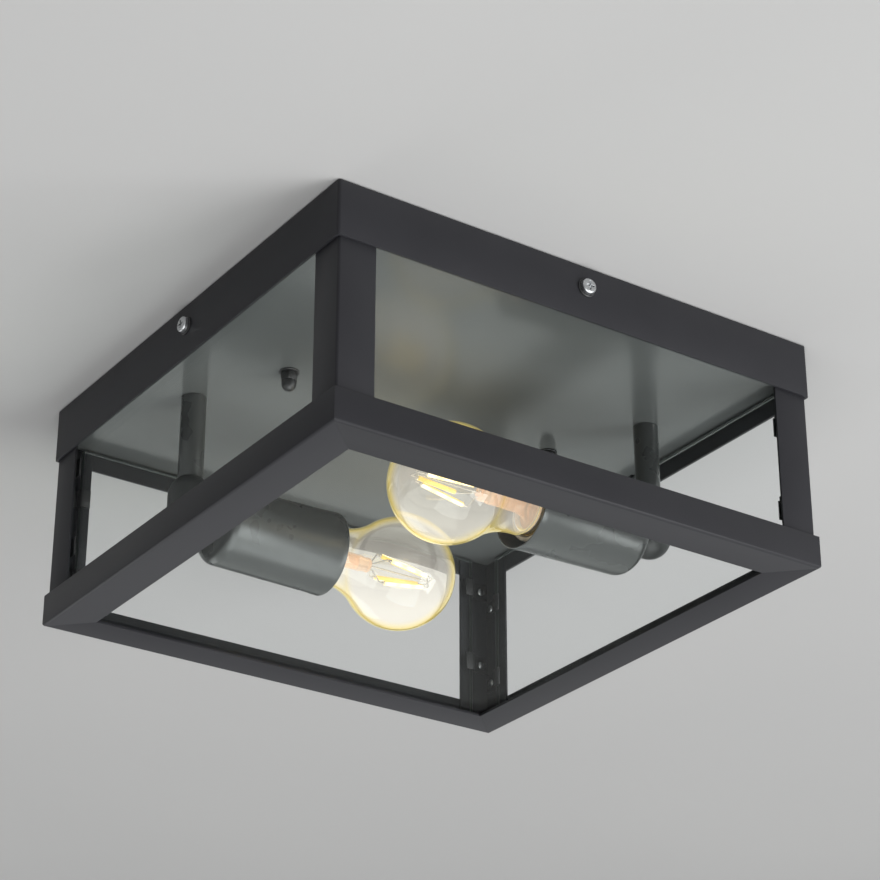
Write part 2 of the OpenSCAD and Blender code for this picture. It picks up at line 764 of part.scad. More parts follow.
module bulb_cap() {
    wave = ridges(cap_r - thread_depth, thread_depth, thread_x0, thread_turns);
    root_r = cap_r - thread_depth;
    outside = concat([[root_r - 3.15, heel_x], [root_r - 1.2, heel_x + 0.8],
                      [root_r, heel_x + 2.2]], wave,
                     [[cap_r, cap_x - 4], [cap_r, cap_x]]);
    inside = [for (i = [len(outside) - 1:-1:0])
        [outside[i][0] - cap_t, outside[i][1] + (i < 2 ? cap_t : 0)]];
    color("silver") turned(concat(outside, inside));
}

module bulb_contact() {
    rim_r = cap_r - thread_depth - 3.15 - cap_t - 0.1;
    color([0.15, 0.15, 0.15]) turned([
        [0, tip_x], [2.5, tip_x + 0.2], [4, tip_x + 1], [4.4, tip_x + 2], [rim_r - 1, heel_x - 0.9],
        [rim_r, heel_x], [rim_r, heel_x + 1.6], [0, heel_x + 1.6]]);
}

// Glass mount: a flared tube that is sealed to the neck, with a pressed solid end
module bulb_stem() {
    flare_r = skirt_r - glass_t - 0.2;
    wall = 0.8;
    flare_l = 13;
    sweep_r = flare_r - stem_r;
    flare = [for (i = [0:10]) let (a = 90 * i / 10)
        [flare_r - sweep_r * sin(a), cap_x - 3 + flare_l * (1 - cos(a))]];
    inner = [for (i = [10:-1:0]) [flare[i][0] - wall, flare[i][1] - (i > 8 ? 0 : 0.1)]];
    color([0.9, 0.75, 0.6, 0.6]) turned(concat(flare,
        [[stem_r, stem_x - 1], [stem_r - 1, stem_x], [0, stem_x], [0, stem_x - 4],
         [stem_r - wall, stem_x - 5]], inner));
}

stick_slope = (filament_top_r - filament_base_r) / filament_l;
// Radius of the line of a filament stick at a place along the axis
function stick_r_at(x) = filament_base_r + stick_slope * (x - stick_x0);

// Four wires from the mount to the sticks, a rod from the mount to the crown, and two bows
// across its end that hold the sticks' far ends
module bulb_wires() {
    end_gap = 0.15;
    lead_in = 1.5;
    foot_r = stem_r - 1.8;
    bow_x = stick_x1 + lead_in + 1;
    rod_end = bow_x - wire_r - 0.1;
    color("gray") {
        for (a = [0:90:270]) rotate([filament_turn + a, 0, 0]) wire_along(rounded_route([
            [stem_x, 0, foot_r],
            [stem_x + 1.2, 0, foot_r],
            [stick_x0 - lead_in, 0, stick_r_at(stick_x0 - lead_in)],
            [stick_x0 - end_gap, 0, stick_r_at(stick_x0 - end_gap)]
        ], 0.5), wire_r);
        for (a = [0, 90]) rotate([filament_turn + a, 0, 0]) wire_along(rounded_route([
            [stick_x1 + end_gap, 0, stick_r_at(stick_x1 + end_gap)],
            [bow_x + (a > 0 ? 2 * wire_r + 0.1 : 0), 0, stick_r_at(bow_x)],
            [bow_x + (a > 0 ? 2 * wire_r + 0.1 : 0), 0, -stick_r_at(bow_x)],
            [stick_x1 + end_gap, 0, -stick_r_at(stick_x1 + end_gap)]
        ], 0.8), wire_r);
        translate([stem_x, 0, 0]) rotate([0, 90, 0]) cylinder(r = wire_r, h = rod_end - stem_x);
    }
}

module bulb_filaments() {
    lean = atan(stick_slope);
    color([1, 0.85, 0.35]) for (a = [0:90:270]) rotate([filament_turn + a, 0, 0])
        translate([stick_x0, 0, filament_base_r]) rotate([0, 90 - lean, 0])
            cylinder(r = filament_r, h = filament_l / cos(lean));
}

module bulb_glass_left() at_lamp(false) bulb_glass();
module bulb_cap_left() at_lamp(false) bulb_cap();
module bulb_contact_left() at_lamp(false) bulb_contact();
module bulb_stem_left() at_lamp(false) bulb_stem();
module bulb_wires_left() at_lamp(false) bulb_wires();
module bulb_filaments_left() at_lamp(false) bulb_filaments();
module bulb_glass_right() at_lamp(true) bulb_glass();
module bulb_cap_right() at_lamp(true) bulb_cap();
module bulb_contact_right() at_lamp(true) bulb_contact();
module bulb_stem_right() at_lamp(true) bulb_stem();
module bulb_wires_right() at_lamp(true) bulb_wires();
module bulb_filaments_right() at_lamp(true) bulb_filaments();

// ---- lantern body --------------------------------------------------------------------------

// A square with round corners
module rounded_square(w, r) {
    square([w - 2 * r, w], center = true);
    square([w, w - 2 * r], center = true);
    for (x = [-1, 1], y = [-1, 1]) translate([x * (w / 2 - r), y * (w / 2 - r)]) circle(r = r);
}

frame_black = [0.17, 0.17, 0.19];

module top_band() {
    color(frame_black) difference() {
        translate([0, 0, -band_h]) linear_extrude(band_h) difference() {
            rounded_square(body_w, fold_r);
            square(2 * post_face, center = true);
        }
        for (n = [1:4]) at_side(n) translate([0, -post_face + sliver, screw_z]) rotate([90, 0, 0])
            cylinder(r = screw_hole_r, h = sheet_t + 2 * sliver);
    }
}

module corner_post() {
    post_l = -(pan_h + post_top_gap) - ledge_top;
    inner_leg = post_leg - post_t;
    r = post_fold_r;
    color(frame_black) translate([-post_face, -post_face, ledge_top])
        linear_extrude(post_l) difference() {
        union() {
            translate([r, 0]) square([post_leg - r, post_leg]);
            translate([0, r]) square([post_leg, post_leg - r]);
            translate([r, r]) circle(r = r);
        }
        translate([post_t, post_t]) square(inner_leg + sliver);
    }
}

module corner_post_1() at_side(1) corner_post();
module corner_post_2() at_side(2) corner_post();
module corner_post_3() at_side(3) corner_post();
module corner_post_4() at_side(4) corner_post();

// Angle-section rail along side 1, with both ends mitred
module lower_rail() {
    r = fold_r;
    section = concat([[half_w - ledge_w, -body_h]],
                     arc([half_w - r, -body_h + r], r, -90, 0, 6),
                     [[half_w, -body_h + rail_h], [post_face, -body_h + rail_h],
                      [post_face, ledge_top], [half_w - ledge_w, ledge_top]]);
    color(frame_black) intersection() {
        rotate([0, 0, -90]) rotate([90, 0, 0]) translate([0, 0, -half_w]) linear_extrude(body_w)
            polygon(section);
        translate([0, 0, -body_h - 1]) linear_extrude(body_h)
            polygon([[0, 0], [-half_w - 1, -half_w - 1], [half_w + 1, -half_w - 1]]);
    }
}

module lower_rail_1() at_side(1) lower_rail();
module lower_rail_2() at_side(2) lower_rail();
module lower_rail_3() at_side(3) lower_rail();
module lower_rail_4() at_side(4) lower_rail();

module side_pane() {
    color([0.85, 0.93, 0.9, 0.3]) translate([-pane_half_l, -pane_outer, ledge_top])
        cube([2 * pane_half_l, pane_t, pane_top - ledge_top]);
}

module side_pane_1() at_side(1) side_pane();
module side_pane_2() at_side(2) side_pane();
module side_pane_3() at_side(3) side_pane();
module side_pane_4() at_side(4) side_pane();

module bottom_pane() {
    color([0.85, 0.93, 0.9, 0.3]) translate([-bottom_half, -bottom_half, ledge_top])
        cube([2 * bottom_half, 2 * bottom_half, pane_t]);
}

// Places of the four clips of side 1, each as [end, height]
clip_places = [[-1, upper_clip_z], [-1, lower_clip_z],
               [1, upper_clip_z - clip_stagger], [1, lower_clip_z - clip_stagger]];

module at_clips() {
    for (n = [1:4]) at_side(n) for (c = clip_places)
        translate([0, -post_inner, c[1]]) mirror([c[0] > 0 ? 1 : 0, 0, 0]) children();
}

clip_stud_x = post_face - clip_stud_in; // distance of the studs from the side's middle

// Flat foot on the post, a riser past the pane's edge and a tongue over the glass
module glass_clip() {
    foot_end = post_inner - 0.3;
    riser = clip_base_end;
    tongue_end = riser - clip_tongue_l;
    tongue_y = pane_gap + pane_t + clip_gap;
    difference() {
        translate([0, 0, -clip_h / 2]) linear_extrude(clip_h) polygon([
            [-foot_end, 0], [-riser, 0], [-riser, tongue_y], [-tongue_end, tongue_y],
            [-tongue_end, tongue_y + clip_t], [-riser - clip_t, tongue_y + clip_t],
            [-riser - clip_t, clip_t], [-foot_end, clip_t]]);
        translate([-clip_stud_x, clip_t + sliver, 0]) rotate([90, 0, 0])
            cylinder(r = clip_stud_r + 0.1, h = clip_t + 2 * sliver);
    }
}

module glass_clips() {
    color([0.25, 0.25, 0.26]) at_clips() glass_clip();
}

module clip_studs() {
    edge = 0.3;
    dome = [for (i = [0:8])
        [clip_head_r * cos(90 * i / 8), edge + (clip_head_h - edge) * sin(90 * i / 8)]];
    color("silver") at_clips() translate([-clip_stud_x, 0, 0]) rotate([-90, 0, 0]) {
        cylinder(r = clip_stud_r, h = clip_t + 0.2);
        translate([0, 0, clip_t]) rotate_extrude()
            polygon(concat([[0, 0], [clip_head_r, 0]], dome));
    }
}

module side_screws() {
    recess_w = screw_head_r * 1.1;
    recess_t = screw_head_r * 0.22;
    recess_d = screw_head_h * 0.55;
    edge = 1;
    head_foot = half_w + screw_washer_t;
    head = concat([[0, 0], [screw_head_r, 0]],
                  arc([screw_head_r - edge, screw_head_h - edge], edge, 0, 90, 6),
                  [[0, screw_head_h]]);
    color("gainsboro") for (n = [1:4]) at_side(n)
        translate([0, 0, screw_z]) rotate([90, 0, 0]) difference() {
            union() {
                translate([0, 0, screw_tip]) cylinder(r = screw_r, h = head_foot - screw_tip + 0.2);
                translate([0, 0, head_foot]) rotate_extrude() polygon(head);
            }
            for (a = [0, 90]) rotate([0, 0, a])
                translate([-recess_w / 2, -recess_t / 2, head_foot + screw_head_h - recess_d])
                    cube([recess_w, recess_t, screw_head_h]);
        }
}

module side_washers() {
    color([0.15, 0.15, 0.15]) for (n = [1:4]) at_side(n) translate([0, -half_w, screw_z])
        rotate([90, 0, 0]) difference() {
            cylinder(r = screw_washer_r, h = screw_washer_t);
            translate([0, 0, -sliver]) cylinder(r = screw_r + 0.15, h = screw_washer_t + 2 * sliver);
        }
}

module screw_nuts() {
    color("silver") for (n = [1:4]) at_side(n)
        translate([-screw_nut_w / 2, -nut_outer, screw_z - screw_nut_w / 2]) difference() {
            cube([screw_nut_w, screw_nut_t, screw_nut_w]);
            translate([screw_nut_w / 2, -sliver, screw_nut_w / 2]) rotate([-90, 0, 0])
                cylinder(r = screw_r + 0.05, h = screw_nut_t + 2 * sliver);
        }
}

ceiling_bracket();
bracket_studs();
base_pan();
pan_frame();
pan_gasket();
cap_nuts();
nut_washers();
terminal_block();
terminal_screws();
earth_stud();
earth_lead();
tube_left();
tube_right();
drop_nipples();
nipple_nuts();
knuckle_left();
knuckle_right();
holder_nipples();
holder_nuts();
holder_saddles();
holder_cup_left();
holder_cup_right();
socket_core_left();
socket_core_right();
socket_shells();
centre_contacts();
lamp_leads();
bulb_glass_left();
bulb_cap_left();
bulb_contact_left();
bulb_stem_left();
bulb_wires_left();
bulb_filaments_left();
bulb_glass_right();
bulb_cap_right();
bulb_contact_right();
bulb_stem_right();
bulb_wires_right();
bulb_filaments_right();
top_band();
corner_post_1();
corner_post_2();
corner_post_3();
corner_post_4();
lower_rail_1();
lower_rail_2();
lower_rail_3();
lower_rail_4();
side_pane_1();
side_pane_2();
side_pane_3();
side_pane_4();
bottom_pane();
glass_clips();
clip_studs();
side_screws();
side_washers();
screw_nuts();
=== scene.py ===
import bmesh
import bpy
import math
from mathutils import Matrix, Vector


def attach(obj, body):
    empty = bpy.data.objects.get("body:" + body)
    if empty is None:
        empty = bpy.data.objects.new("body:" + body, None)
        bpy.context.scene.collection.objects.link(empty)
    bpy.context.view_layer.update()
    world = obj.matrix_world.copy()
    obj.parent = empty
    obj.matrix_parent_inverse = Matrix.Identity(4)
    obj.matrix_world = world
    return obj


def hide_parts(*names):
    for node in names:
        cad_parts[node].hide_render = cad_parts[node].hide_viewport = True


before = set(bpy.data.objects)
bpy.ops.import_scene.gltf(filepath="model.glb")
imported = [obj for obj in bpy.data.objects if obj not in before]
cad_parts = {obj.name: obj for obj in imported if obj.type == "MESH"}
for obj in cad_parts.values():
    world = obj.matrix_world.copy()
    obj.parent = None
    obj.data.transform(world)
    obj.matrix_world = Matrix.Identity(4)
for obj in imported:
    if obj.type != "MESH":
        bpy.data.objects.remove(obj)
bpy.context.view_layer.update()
MM = 0.001

# ---- The porch -------------------------------------------------------------------------------
# A plain pale ceiling that the lantern is screwed to, a pale floor 2.4 m below it, and soft
# daylight from the open sides and from below. None of it is part of the lantern.


def linear(code):
    """The linear colour of an sRGB hex value."""
    parts = [int(code[i:i + 2], 16) / 255 for i in (1, 3, 5)]
    return [p / 12.92 if p <= 0.04045 else ((p + 0.055) / 1.055) ** 2.4 for p in parts] + [1]


def feed(finish, node, inputs):
    """Sets inputs of a node, as values or as links from other nodes."""
    for name, value in inputs.items():
        if isinstance(value, bpy.types.NodeSocket):
            finish.node_tree.links.new(value, node.inputs[name])
        else:
            node.inputs[name].default_value = value


def add_node(finish, kind, inputs=None, **settings):
    """Adds a node to a material, with its settings and its inputs."""
    node = finish.node_tree.nodes.new(kind)
    for name, value in settings.items():
        setattr(node, name, value)
    feed(finish, node, inputs or {})
    return node


def new_finish(name):
    """A material, and the shader it starts with."""
    finish = bpy.data.materials.new(name)
    finish.use_nodes = True
    return finish, finish.node_tree.nodes["Principled BSDF"]


def settle():
    """Writes the place, turn and size of what is selected into its mesh."""
    bpy.ops.object.transform_apply(location=True, rotation=True, scale=True)


def name_piece(name):
    """The active piece, with its object and mesh named."""
    piece = bpy.context.object
    piece.name = name
    piece.data.name = name
    return piece


# The photograph's view: from 1.3 m away, up past the near corner, through a long lens.
eye = bpy.data.objects.new("eye", bpy.data.cameras.new("eye"))
bpy.context.scene.collection.objects.link(eye)
eye.data.sensor_width = 36
eye.data.lens = 105.236
eye.data.clip_start = 0.05
eye.data.clip_end = 60
to_right = Vector((0.82593, -0.56378, 0.00055))
to_bottom = Vector((0.25446, 0.37191, -0.89271))
ahead = Vector((0.50309, 0.73745, 0.45063))
aim = Matrix((to_right, -to_bottom, -ahead)).transposed().to_4x4()
eye.matrix_world = Matrix.Translation((-0.65816, -0.98067, -0.63074)) @ aim
bpy.context.scene.camera = eye
bpy.context.scene.view_settings.view_transform = "Standard"

# Painted plaster: matt and pale, with a faint unevenness some 60 cm wide. It is one-sided, so that
# a view from above the ceiling sees the lantern.
plaster, plaster_paint = new_finish("painted_plaster")
plaster_place = add_node(plaster, "ShaderNodeTexCoord")
plaster_cloud = add_node(plaster, "ShaderNodeTexNoise", {
    "Vector": plaster_place.outputs["Object"], "Scale": 1.6, "Detail": 2.0})
plaster_tone = add_node(plaster, "ShaderNodeMix", {
    "Factor": plaster_cloud.outputs["Fac"], "A": linear("#c6c6c6"), "B": linear("#d3d3d2")},
    data_type="RGBA")
feed(plaster, plaster_paint, {
    "Roughness": 0.9, "Specular IOR Level": 0.2, "Base Color": plaster_tone.outputs["Result"]})
plaster_side = add_node(plaster, "ShaderNodeNewGeometry")
plaster_open = add_node(plaster, "ShaderNodeBsdfTransparent")
plaster_faces = add_node(plaster, "ShaderNodeMixShader", {
    0: plaster_side.outputs["Backfacing"], 1: plaster_paint.outputs["BSDF"],
    2: plaster_open.outputs["BSDF"]})
feed(plaster, plaster.node_tree.nodes["Material Output"], {
    "Surface": plaster_faces.outputs["Shader"]})

# It lies a hair above the lantern's top.
ceiling_w = 9
ceiling_z = 0.0006
bpy.ops.object.select_all(action="DESELECT")
bpy.ops.mesh.primitive_plane_add(size=ceiling_w, location=(0, 0, ceiling_z),
                                 rotation=(math.pi, 0, 0))
settle()
ceiling = name_piece("ceiling")
ceiling.data.materials.append(plaster)
ceiling.visible_shadow = False
ceiling.visible_diffuse = False

# Smoothed screed: pale and matt. The eye and mirrors see it in full daylight, while it throws no
# more light up at the lantern than the lamps give it.
screed, screed_paint = new_finish("pale_screed")
feed(screed, screed_paint, {"Base Color": linear("#dcdcda"), "Roughness": 0.85})
screed_path = add_node(screed, "ShaderNodeLightPath")
screed_seen = add_node(screed, "ShaderNodeMath", {
    0: screed_path.outputs["Is Camera Ray"], 1: screed_path.outputs["Is Glossy Ray"]},
    operation="MAXIMUM")
screed_bright = add_node(screed, "ShaderNodeEmission", {
    "Color": linear("#eceeec"), "Strength": 0.9})
screed_mix = add_node(screed, "ShaderNodeMixShader", {
    0: screed_seen.outputs["Value"], 1: screed_paint.outputs["BSDF"],
    2: screed_bright.outputs["Emission"]})
feed(screed, screed.node_tree.nodes["Material Output"], {"Surface": screed_mix.outputs["Shader"]})
screed.cycles.emission_sampling = "NONE"

floor_w = 14
floor_z = -2.4
bpy.ops.object.select_all(action="DESELECT")
bpy.ops.mesh.primitive_plane_add(size=floor_w, location=(0, 0, floor_z))
settle()
floor = name_piece("floor")
floor.data.materials.append(screed)

# Daylight: a pale sky that the eye sees at full strength, also through glass, and that lights the
# lantern more weakly, most from below and from the right. Three large soft lamps go with it, and
# one over the pan for views from above.
sky = bpy.data.worlds.new("sky")
bpy.context.scene.world = sky
sky.use_nodes = True
sky_light = sky.node_tree.nodes["Background"]
sky_path = add_node(sky, "ShaderNodeLightPath")
sky_seen = add_node(sky, "ShaderNodeMath", {
    0: sky_path.outputs["Is Camera Ray"], 1: sky_path.outputs["Is Transmission Ray"]},
    operation="MAXIMUM")
sky_place = add_node(sky, "ShaderNodeTexCoord")
sky_open_side = add_node(sky, "ShaderNodeVectorMath", {
    0: sky_place.outputs["Generated"], 1: (0.62, -0.22, -0.75)}, operation="DOT_PRODUCT")
sky_cast = add_node(sky, "ShaderNodeMapRange", {
    "Value": sky_open_side.outputs["Value"], "From Min": -0.6, "From Max": 0.8,
    "To Min": 0.10, "To Max": 0.66})
sky_strength = add_node(sky, "ShaderNodeMix", {
    "Factor": sky_seen.outputs["Value"], "A": sky_cast.outputs["Result"], "B": 0.85})
feed(sky, sky_light, {"Color": linear("#f4f6f8"), "Strength": sky_strength.outputs["Result"]})


def soft_lamp(name, place, size, power):
    """A square soft lamp that faces the lantern, and that only gloss and matt surfaces see."""
    lamp = bpy.data.objects.new(name, bpy.data.lights.new(name, "AREA"))
    lamp.data.shape = "SQUARE"
    lamp.data.size = size
    lamp.data.energy = power
    lamp.location = place
    lantern_middle = Vector((0, 0, -0.06))
    towards = lantern_middle - Vector(place)
    lamp.rotation_euler = towards.to_track_quat("-Z", "Y").to_euler()
    lamp.visible_camera = False
    lamp.visible_transmission = False
    bpy.context.scene.collection.objects.link(lamp)


soft_lamp("far_side_daylight", (-0.5, 3.0, -1.5), 1.8, 12)
soft_lamp("front_right_daylight", (1.7, -2.2, -1.2), 1.8, 48)
soft_lamp("light_from_the_floor", (-0.1, -0.8, -2.1), 2.4, 36)
soft_lamp("light_over_the_pan", (0.2, 0.1, 2.0), 1.6, 14)

# The two lamps are lit: a weak warm ball of light in the middle of each globe, which brightens the
# inner faces of the frame, the pan and the mouths of the holders.
left_globe = (0.0199, 0.052, -0.085)
for side in (1, -1):
    lit = bpy.data.objects.new("lit_globe", bpy.data.lights.new("lit_globe", "POINT"))
    lit.data.shadow_soft_size = 0.026
    lit.data.energy = 0.02
    lit.data.color = linear("#fff6e8")[:3]
    lit.location = (side * left_globe[0], side * left_globe[1], left_globe[2])
    lit.visible_camera = False
    lit.visible_transmission = False
    lit.visible_glossy = False
    bpy.context.scene.collection.objects.link(lit)

# ---- Top band --------------------------------------------------------------------------------
# One strip of 1.5 mm sheet steel folded into a square round the base pan, powder coated dark
# anthracite. Four screws through the middles of its sides hold it to the pan.


def block(name, low, high):
    """A box between two corners, in millimetres."""
    bpy.ops.object.select_all(action="DESELECT")
    middle = [(a + b) / 2 * MM for a, b in zip(low, high)]
    size = [(b - a) * MM for a, b in zip(low, high)]
    bpy.ops.mesh.primitive_cube_add(size=1, location=middle, scale=size)
    settle()
    return name_piece(name)


def work_on(*pieces):
    """Makes these pieces the only selected ones, and the first of them the active one."""
    bpy.ops.object.select_all(action="DESELECT")
    for piece in pieces:
        piece.select_set(True)
    bpy.context.view_layer.objects.active = pieces[0]


def shape(piece):
    """Opens a piece in edit mode."""
    work_on(piece)
    bpy.ops.object.mode_set(mode="EDIT")


def pick(kind, wanted):
    """In edit mode, selects the edges or faces whose corners, in millimetres, pass a test."""
    bpy.ops.mesh.select_mode(type=kind)
    bpy.ops.mesh.select_all(action="DESELECT")
    mesh = bmesh.from_edit_mesh(bpy.context.object.data)
    for part in mesh.edges if kind == "EDGE" else mesh.faces:
        if wanted([corner.co / MM for corner in part.verts]):
            part.select_set(True)
    mesh.select_flush_mode()
    bmesh.update_edit_mesh(bpy.context.object.data)


def cut_away(wanted, kind="FACE"):
    """In edit mode, removes the faces whose corners pass a test, but ONLY_FACE keeps the edges."""
    pick("FACE", wanted)
    bpy.ops.mesh.delete(type=kind)


close = 0.02


def at(axis, *places):
    """The test for parts that lie wholly at one of these places on an axis."""
    return lambda corners: any(
        all(abs(corner["XYZ".index(axis)] - place) < close for corner in corners)
        for place in places)


def upright(corners):
    """The test for parts that run straight up."""
    return all(abs(corners[0][i] - corner[i]) < close for corner in corners for i in (0, 1))


def modify(piece, kind, **settings):
    """Gives the piece a modifier, and applies it."""
    work_on(piece)
    bpy.ops.object.modifier_add(type=kind)
    step = piece.modifiers[-1]
    for name, value in settings.items():
        setattr(step, name, value)
    bpy.ops.object.modifier_apply(modifier=step.name)


def thicken(piece, sheet):
    """Gives a folded sheet its thickness, on its inner side."""
    modify(piece, "SOLIDIFY", thickness=sheet * MM, offset=-1, use_even_offset=True)


def soften(piece, width, angle=40, rounds=2):
    """Rounds all edges sharper than an angle, and smooths the surface between them."""
    modify(piece, "BEVEL", width=width * MM, segments=rounds, limit_method="ANGLE",
           angle_limit=math.radians(angle), harden_normals=False)
    work_on(piece)
    bpy.ops.object.shade_smooth_by_angle(angle=math.radians(35))


def hand_over(piece, body, slot, nodes, *finishes):
    """Gives a finished piece its materials, and puts it in the place of its CAD nodes."""
    piece.data.materials.clear()
    for finish in finishes:
        piece.data.materials.append(finish)
    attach(piece, body)
    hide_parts(*nodes)


# Polyester powder coat on steel, sprayed and baked: satin, dark anthracite with a faint blue
# cast. Its orange peel is about 1 mm across, drawn at 1.6 mm so that it shows, and the gloss
# changes a little over a few centimetres.
powder_coat, coat_shader = new_finish("anthracite_powder_coat")
coat_place = add_node(powder_coat, "ShaderNodeTexCoord")
coat_cloud = add_node(powder_coat, "ShaderNodeTexNoise", {
    "Vector": coat_place.outputs["Object"], "Scale": 1 / (45 * MM), "Detail": 3.0})
coat_tone = add_node(powder_coat, "ShaderNodeMix", {
    "Factor": coat_cloud.outputs["Fac"], "A": linear("#2c2c30"), "B": linear("#36363a")},
    data_type="RGBA")
coat_gloss = add_node(powder_coat, "ShaderNodeMapRange", {
    "Value": coat_cloud.outputs["Fac"], "To Min": 0.40, "To Max": 0.52})
coat_peel = add_node(powder_coat, "ShaderNodeTexNoise", {
    "Vector": coat_place.outputs["Object"], "Scale": 1 / (1.6 * MM), "Detail": 1.0})
coat_bump = add_node(powder_coat, "ShaderNodeBump", {
    "Height": coat_peel.outputs["Fac"], "Strength": 0.25, "Distance": 0.05 * MM})
feed(powder_coat, coat_shader, {
    "Specular IOR Level": 0.24, "Base Color": coat_tone.outputs["Result"],
    "Roughness": coat_gloss.outputs["Result"], "Normal": coat_bump.outputs["Normal"]})

half_w = 140
sheet_t = 1.5
fold_r = 1.6
band_h = 29
band = block("lantern_band", (-half_w, -half_w, -band_h), (half_w, half_w, 0))
shape(band)
cut_away(at("Z", 0, -band_h), "ONLY_FACE")
pick("EDGE", upright)
bpy.ops.mesh.bevel(offset=fold_r * MM, segments=6, profile=0.5, affect="EDGES")
bpy.ops.object.mode_set(mode="OBJECT")
thicken(band, sheet_t)
soften(band, 0.2)
hand_over(band, "lantern", "frame_black", ["top_band"], powder_coat)

# ---- Corner posts ----------------------------------------------------------------------------
# Four angle posts folded from 1.2 mm sheet, spot welded inside the band and the bottom rails and
# powder coated with them.
body_h = 123
post_face = half_w - sheet_t
post_leg = 20
post_t = 1.2
post_fold_r = 1.3
post_foot = sheet_t - body_h
post_top = -20
post = block("corner_angle_1", (-post_face, -post_face, post_foot),
             (post_leg - post_face, post_leg - post_face, post_top))
shape(post)
cut_away(at("Z", post_foot, post_top), "ONLY_FACE")
cut_away(at("X", post_leg - post_face))
cut_away(at("Y", post_leg - post_face))
pick("EDGE", lambda corners: at("X", -post_face)(corners) and at("Y", -post_face)(corners))
bpy.ops.mesh.bevel(offset=post_fold_r * MM, segments=6, profile=0.5, affect="EDGES")
bpy.ops.object.mode_set(mode="OBJECT")
thicken(post, post_t)
soften(post, 0.2)


def copy_turned(piece, name, degrees):
    """A copy with its own mesh, turned about the lantern's upright axis."""
    work_on(piece)
    bpy.ops.object.duplicate(linked=False)
    copy = name_piece(name)
    copy.rotation_euler = (0, 0, math.radians(degrees))
    settle()
    return copy


def four_of(piece, name):
    """A piece made for the first side or corner, and its copies at the other three."""
    return [piece] + [copy_turned(piece, f"{name}_{n}", 90 * (n - 1)) for n in (2, 3, 4)]


for n, piece in enumerate(four_of(post, "corner_angle"), 1):
    hand_over(piece, "lantern", "frame_black", [f"corner_post_{n}"], powder_coat)

# ---- Bottom rails ----------------------------------------------------------------------------
# Four angle rails of 1.5 mm sheet, mitred at the corners, welded and ground flush before the
# powder coat. Their ledges carry the bottom pane.
rail_h = 17
ledge_w = 20.5
rail = block("bottom_rail_1", (-half_w, -half_w, -body_h),
             (half_w, ledge_w - half_w, rail_h - body_h))
shape(rail)
cut_away(at("X", -half_w, half_w), "ONLY_FACE")
cut_away(at("Z", rail_h - body_h))
cut_away(at("Y", ledge_w - half_w))
pick("EDGE", lambda corners: at("Y", -half_w)(corners) and at("Z", -body_h)(corners))
bpy.ops.mesh.bevel(offset=fold_r * MM, segments=6, profile=0.5, affect="EDGES")
bpy.ops.object.mode_set(mode="OBJECT")
thicken(rail, sheet_t)
shape(rail)
for mitre in ((1, -1, 0), (-1, -1, 0)):
    bpy.ops.mesh.select_all(action="SELECT")
    bpy.ops.mesh.bisect(plane_co=(0, 0, 0), plane_no=Vector(mitre).normalized(), use_fill=True,
                        clear_inner=True)
bpy.ops.object.mode_set(mode="OBJECT")
soften(rail, 0.15)
for n, piece in enumerate(four_of(rail, "bottom_rail"), 1):
    hand_over(piece, "lantern", "frame_black", [f"lower_rail_{n}"], powder_coat)

# ---- Glass panes -----------------------------------------------------------------------------
# 3 mm clear float glass with ground edges: four side panes behind the posts, and one that lies
# on the bottom rails' ledge.

# Float glass: it lets nearly all light through, and mirrors a little. The lamps shine through it
# and the metal mirrors what is behind it, so shadows, matt surfaces and mirrors meet a clear film
# in its place.
float_glass, pane_shader = new_finish("clear_float_glass")
feed(float_glass, pane_shader, {
    "Base Color": linear("#feffff"), "Roughness": 0.0, "IOR": 1.06, "Transmission Weight": 1.0})
pane_path = add_node(float_glass, "ShaderNodeLightPath")
pane_soft = add_node(float_glass, "ShaderNodeMath", {
    0: pane_path.outputs["Is Shadow Ray"], 1: pane_path.outputs["Is Diffuse Ray"]},
    operation="MAXIMUM")
pane_mirrored = add_node(float_glass, "ShaderNodeMath", {
    0: pane_path.outputs["Is Glossy Ray"], 1: pane_path.outputs["Is Transmission Ray"]},
    operation="SUBTRACT", use_clamp=True)
pane_through = add_node(float_glass, "ShaderNodeMath", {
    0: pane_soft.outputs["Value"], 1: pane_mirrored.outputs["Value"]}, operation="MAXIMUM")
pane_film = add_node(float_glass, "ShaderNodeBsdfTransparent", {"Color": linear("#fcfefd")})
pane_mix = add_node(float_glass, "ShaderNodeMixShader", {
    0: pane_through.outputs["Value"], 1: pane_shader.outputs["BSDF"],
    2: pane_film.outputs["BSDF"]})
feed(float_glass, float_glass.node_tree.nodes["Material Output"], {
    "Surface": pane_mix.outputs["Shader"]})

# The edge looks along the sheet, where its iron shows as grey-green, and is ground matt.
ground_edge, edge_shader = new_finish("ground_glass_edge")
edge_place = add_node(ground_edge, "ShaderNodeTexCoord")
edge_grit = add_node(ground_edge, "ShaderNodeTexNoise", {
    "Vector": edge_place.outputs["Object"], "Scale": 1 / (0.8 * MM), "Detail": 2.0})
edge_tone = add_node(ground_edge, "ShaderNodeMix", {
    "Factor": edge_grit.outputs["Fac"], "A": linear("#2b3331"), "B": linear("#3c4643")},
    data_type="RGBA")
feed(ground_edge, edge_shader, {
    "Roughness": 0.45, "Transmission Weight": 0.35, "Base Color": edge_tone.outputs["Result"]})

pane_t = 3
post_inner = post_face - post_t
pane_outer = post_inner - 0.2
pane_half = 125
under_half = 133.5
ground_w = 0.4
pane_foot = post_foot
pane_top = -20.5


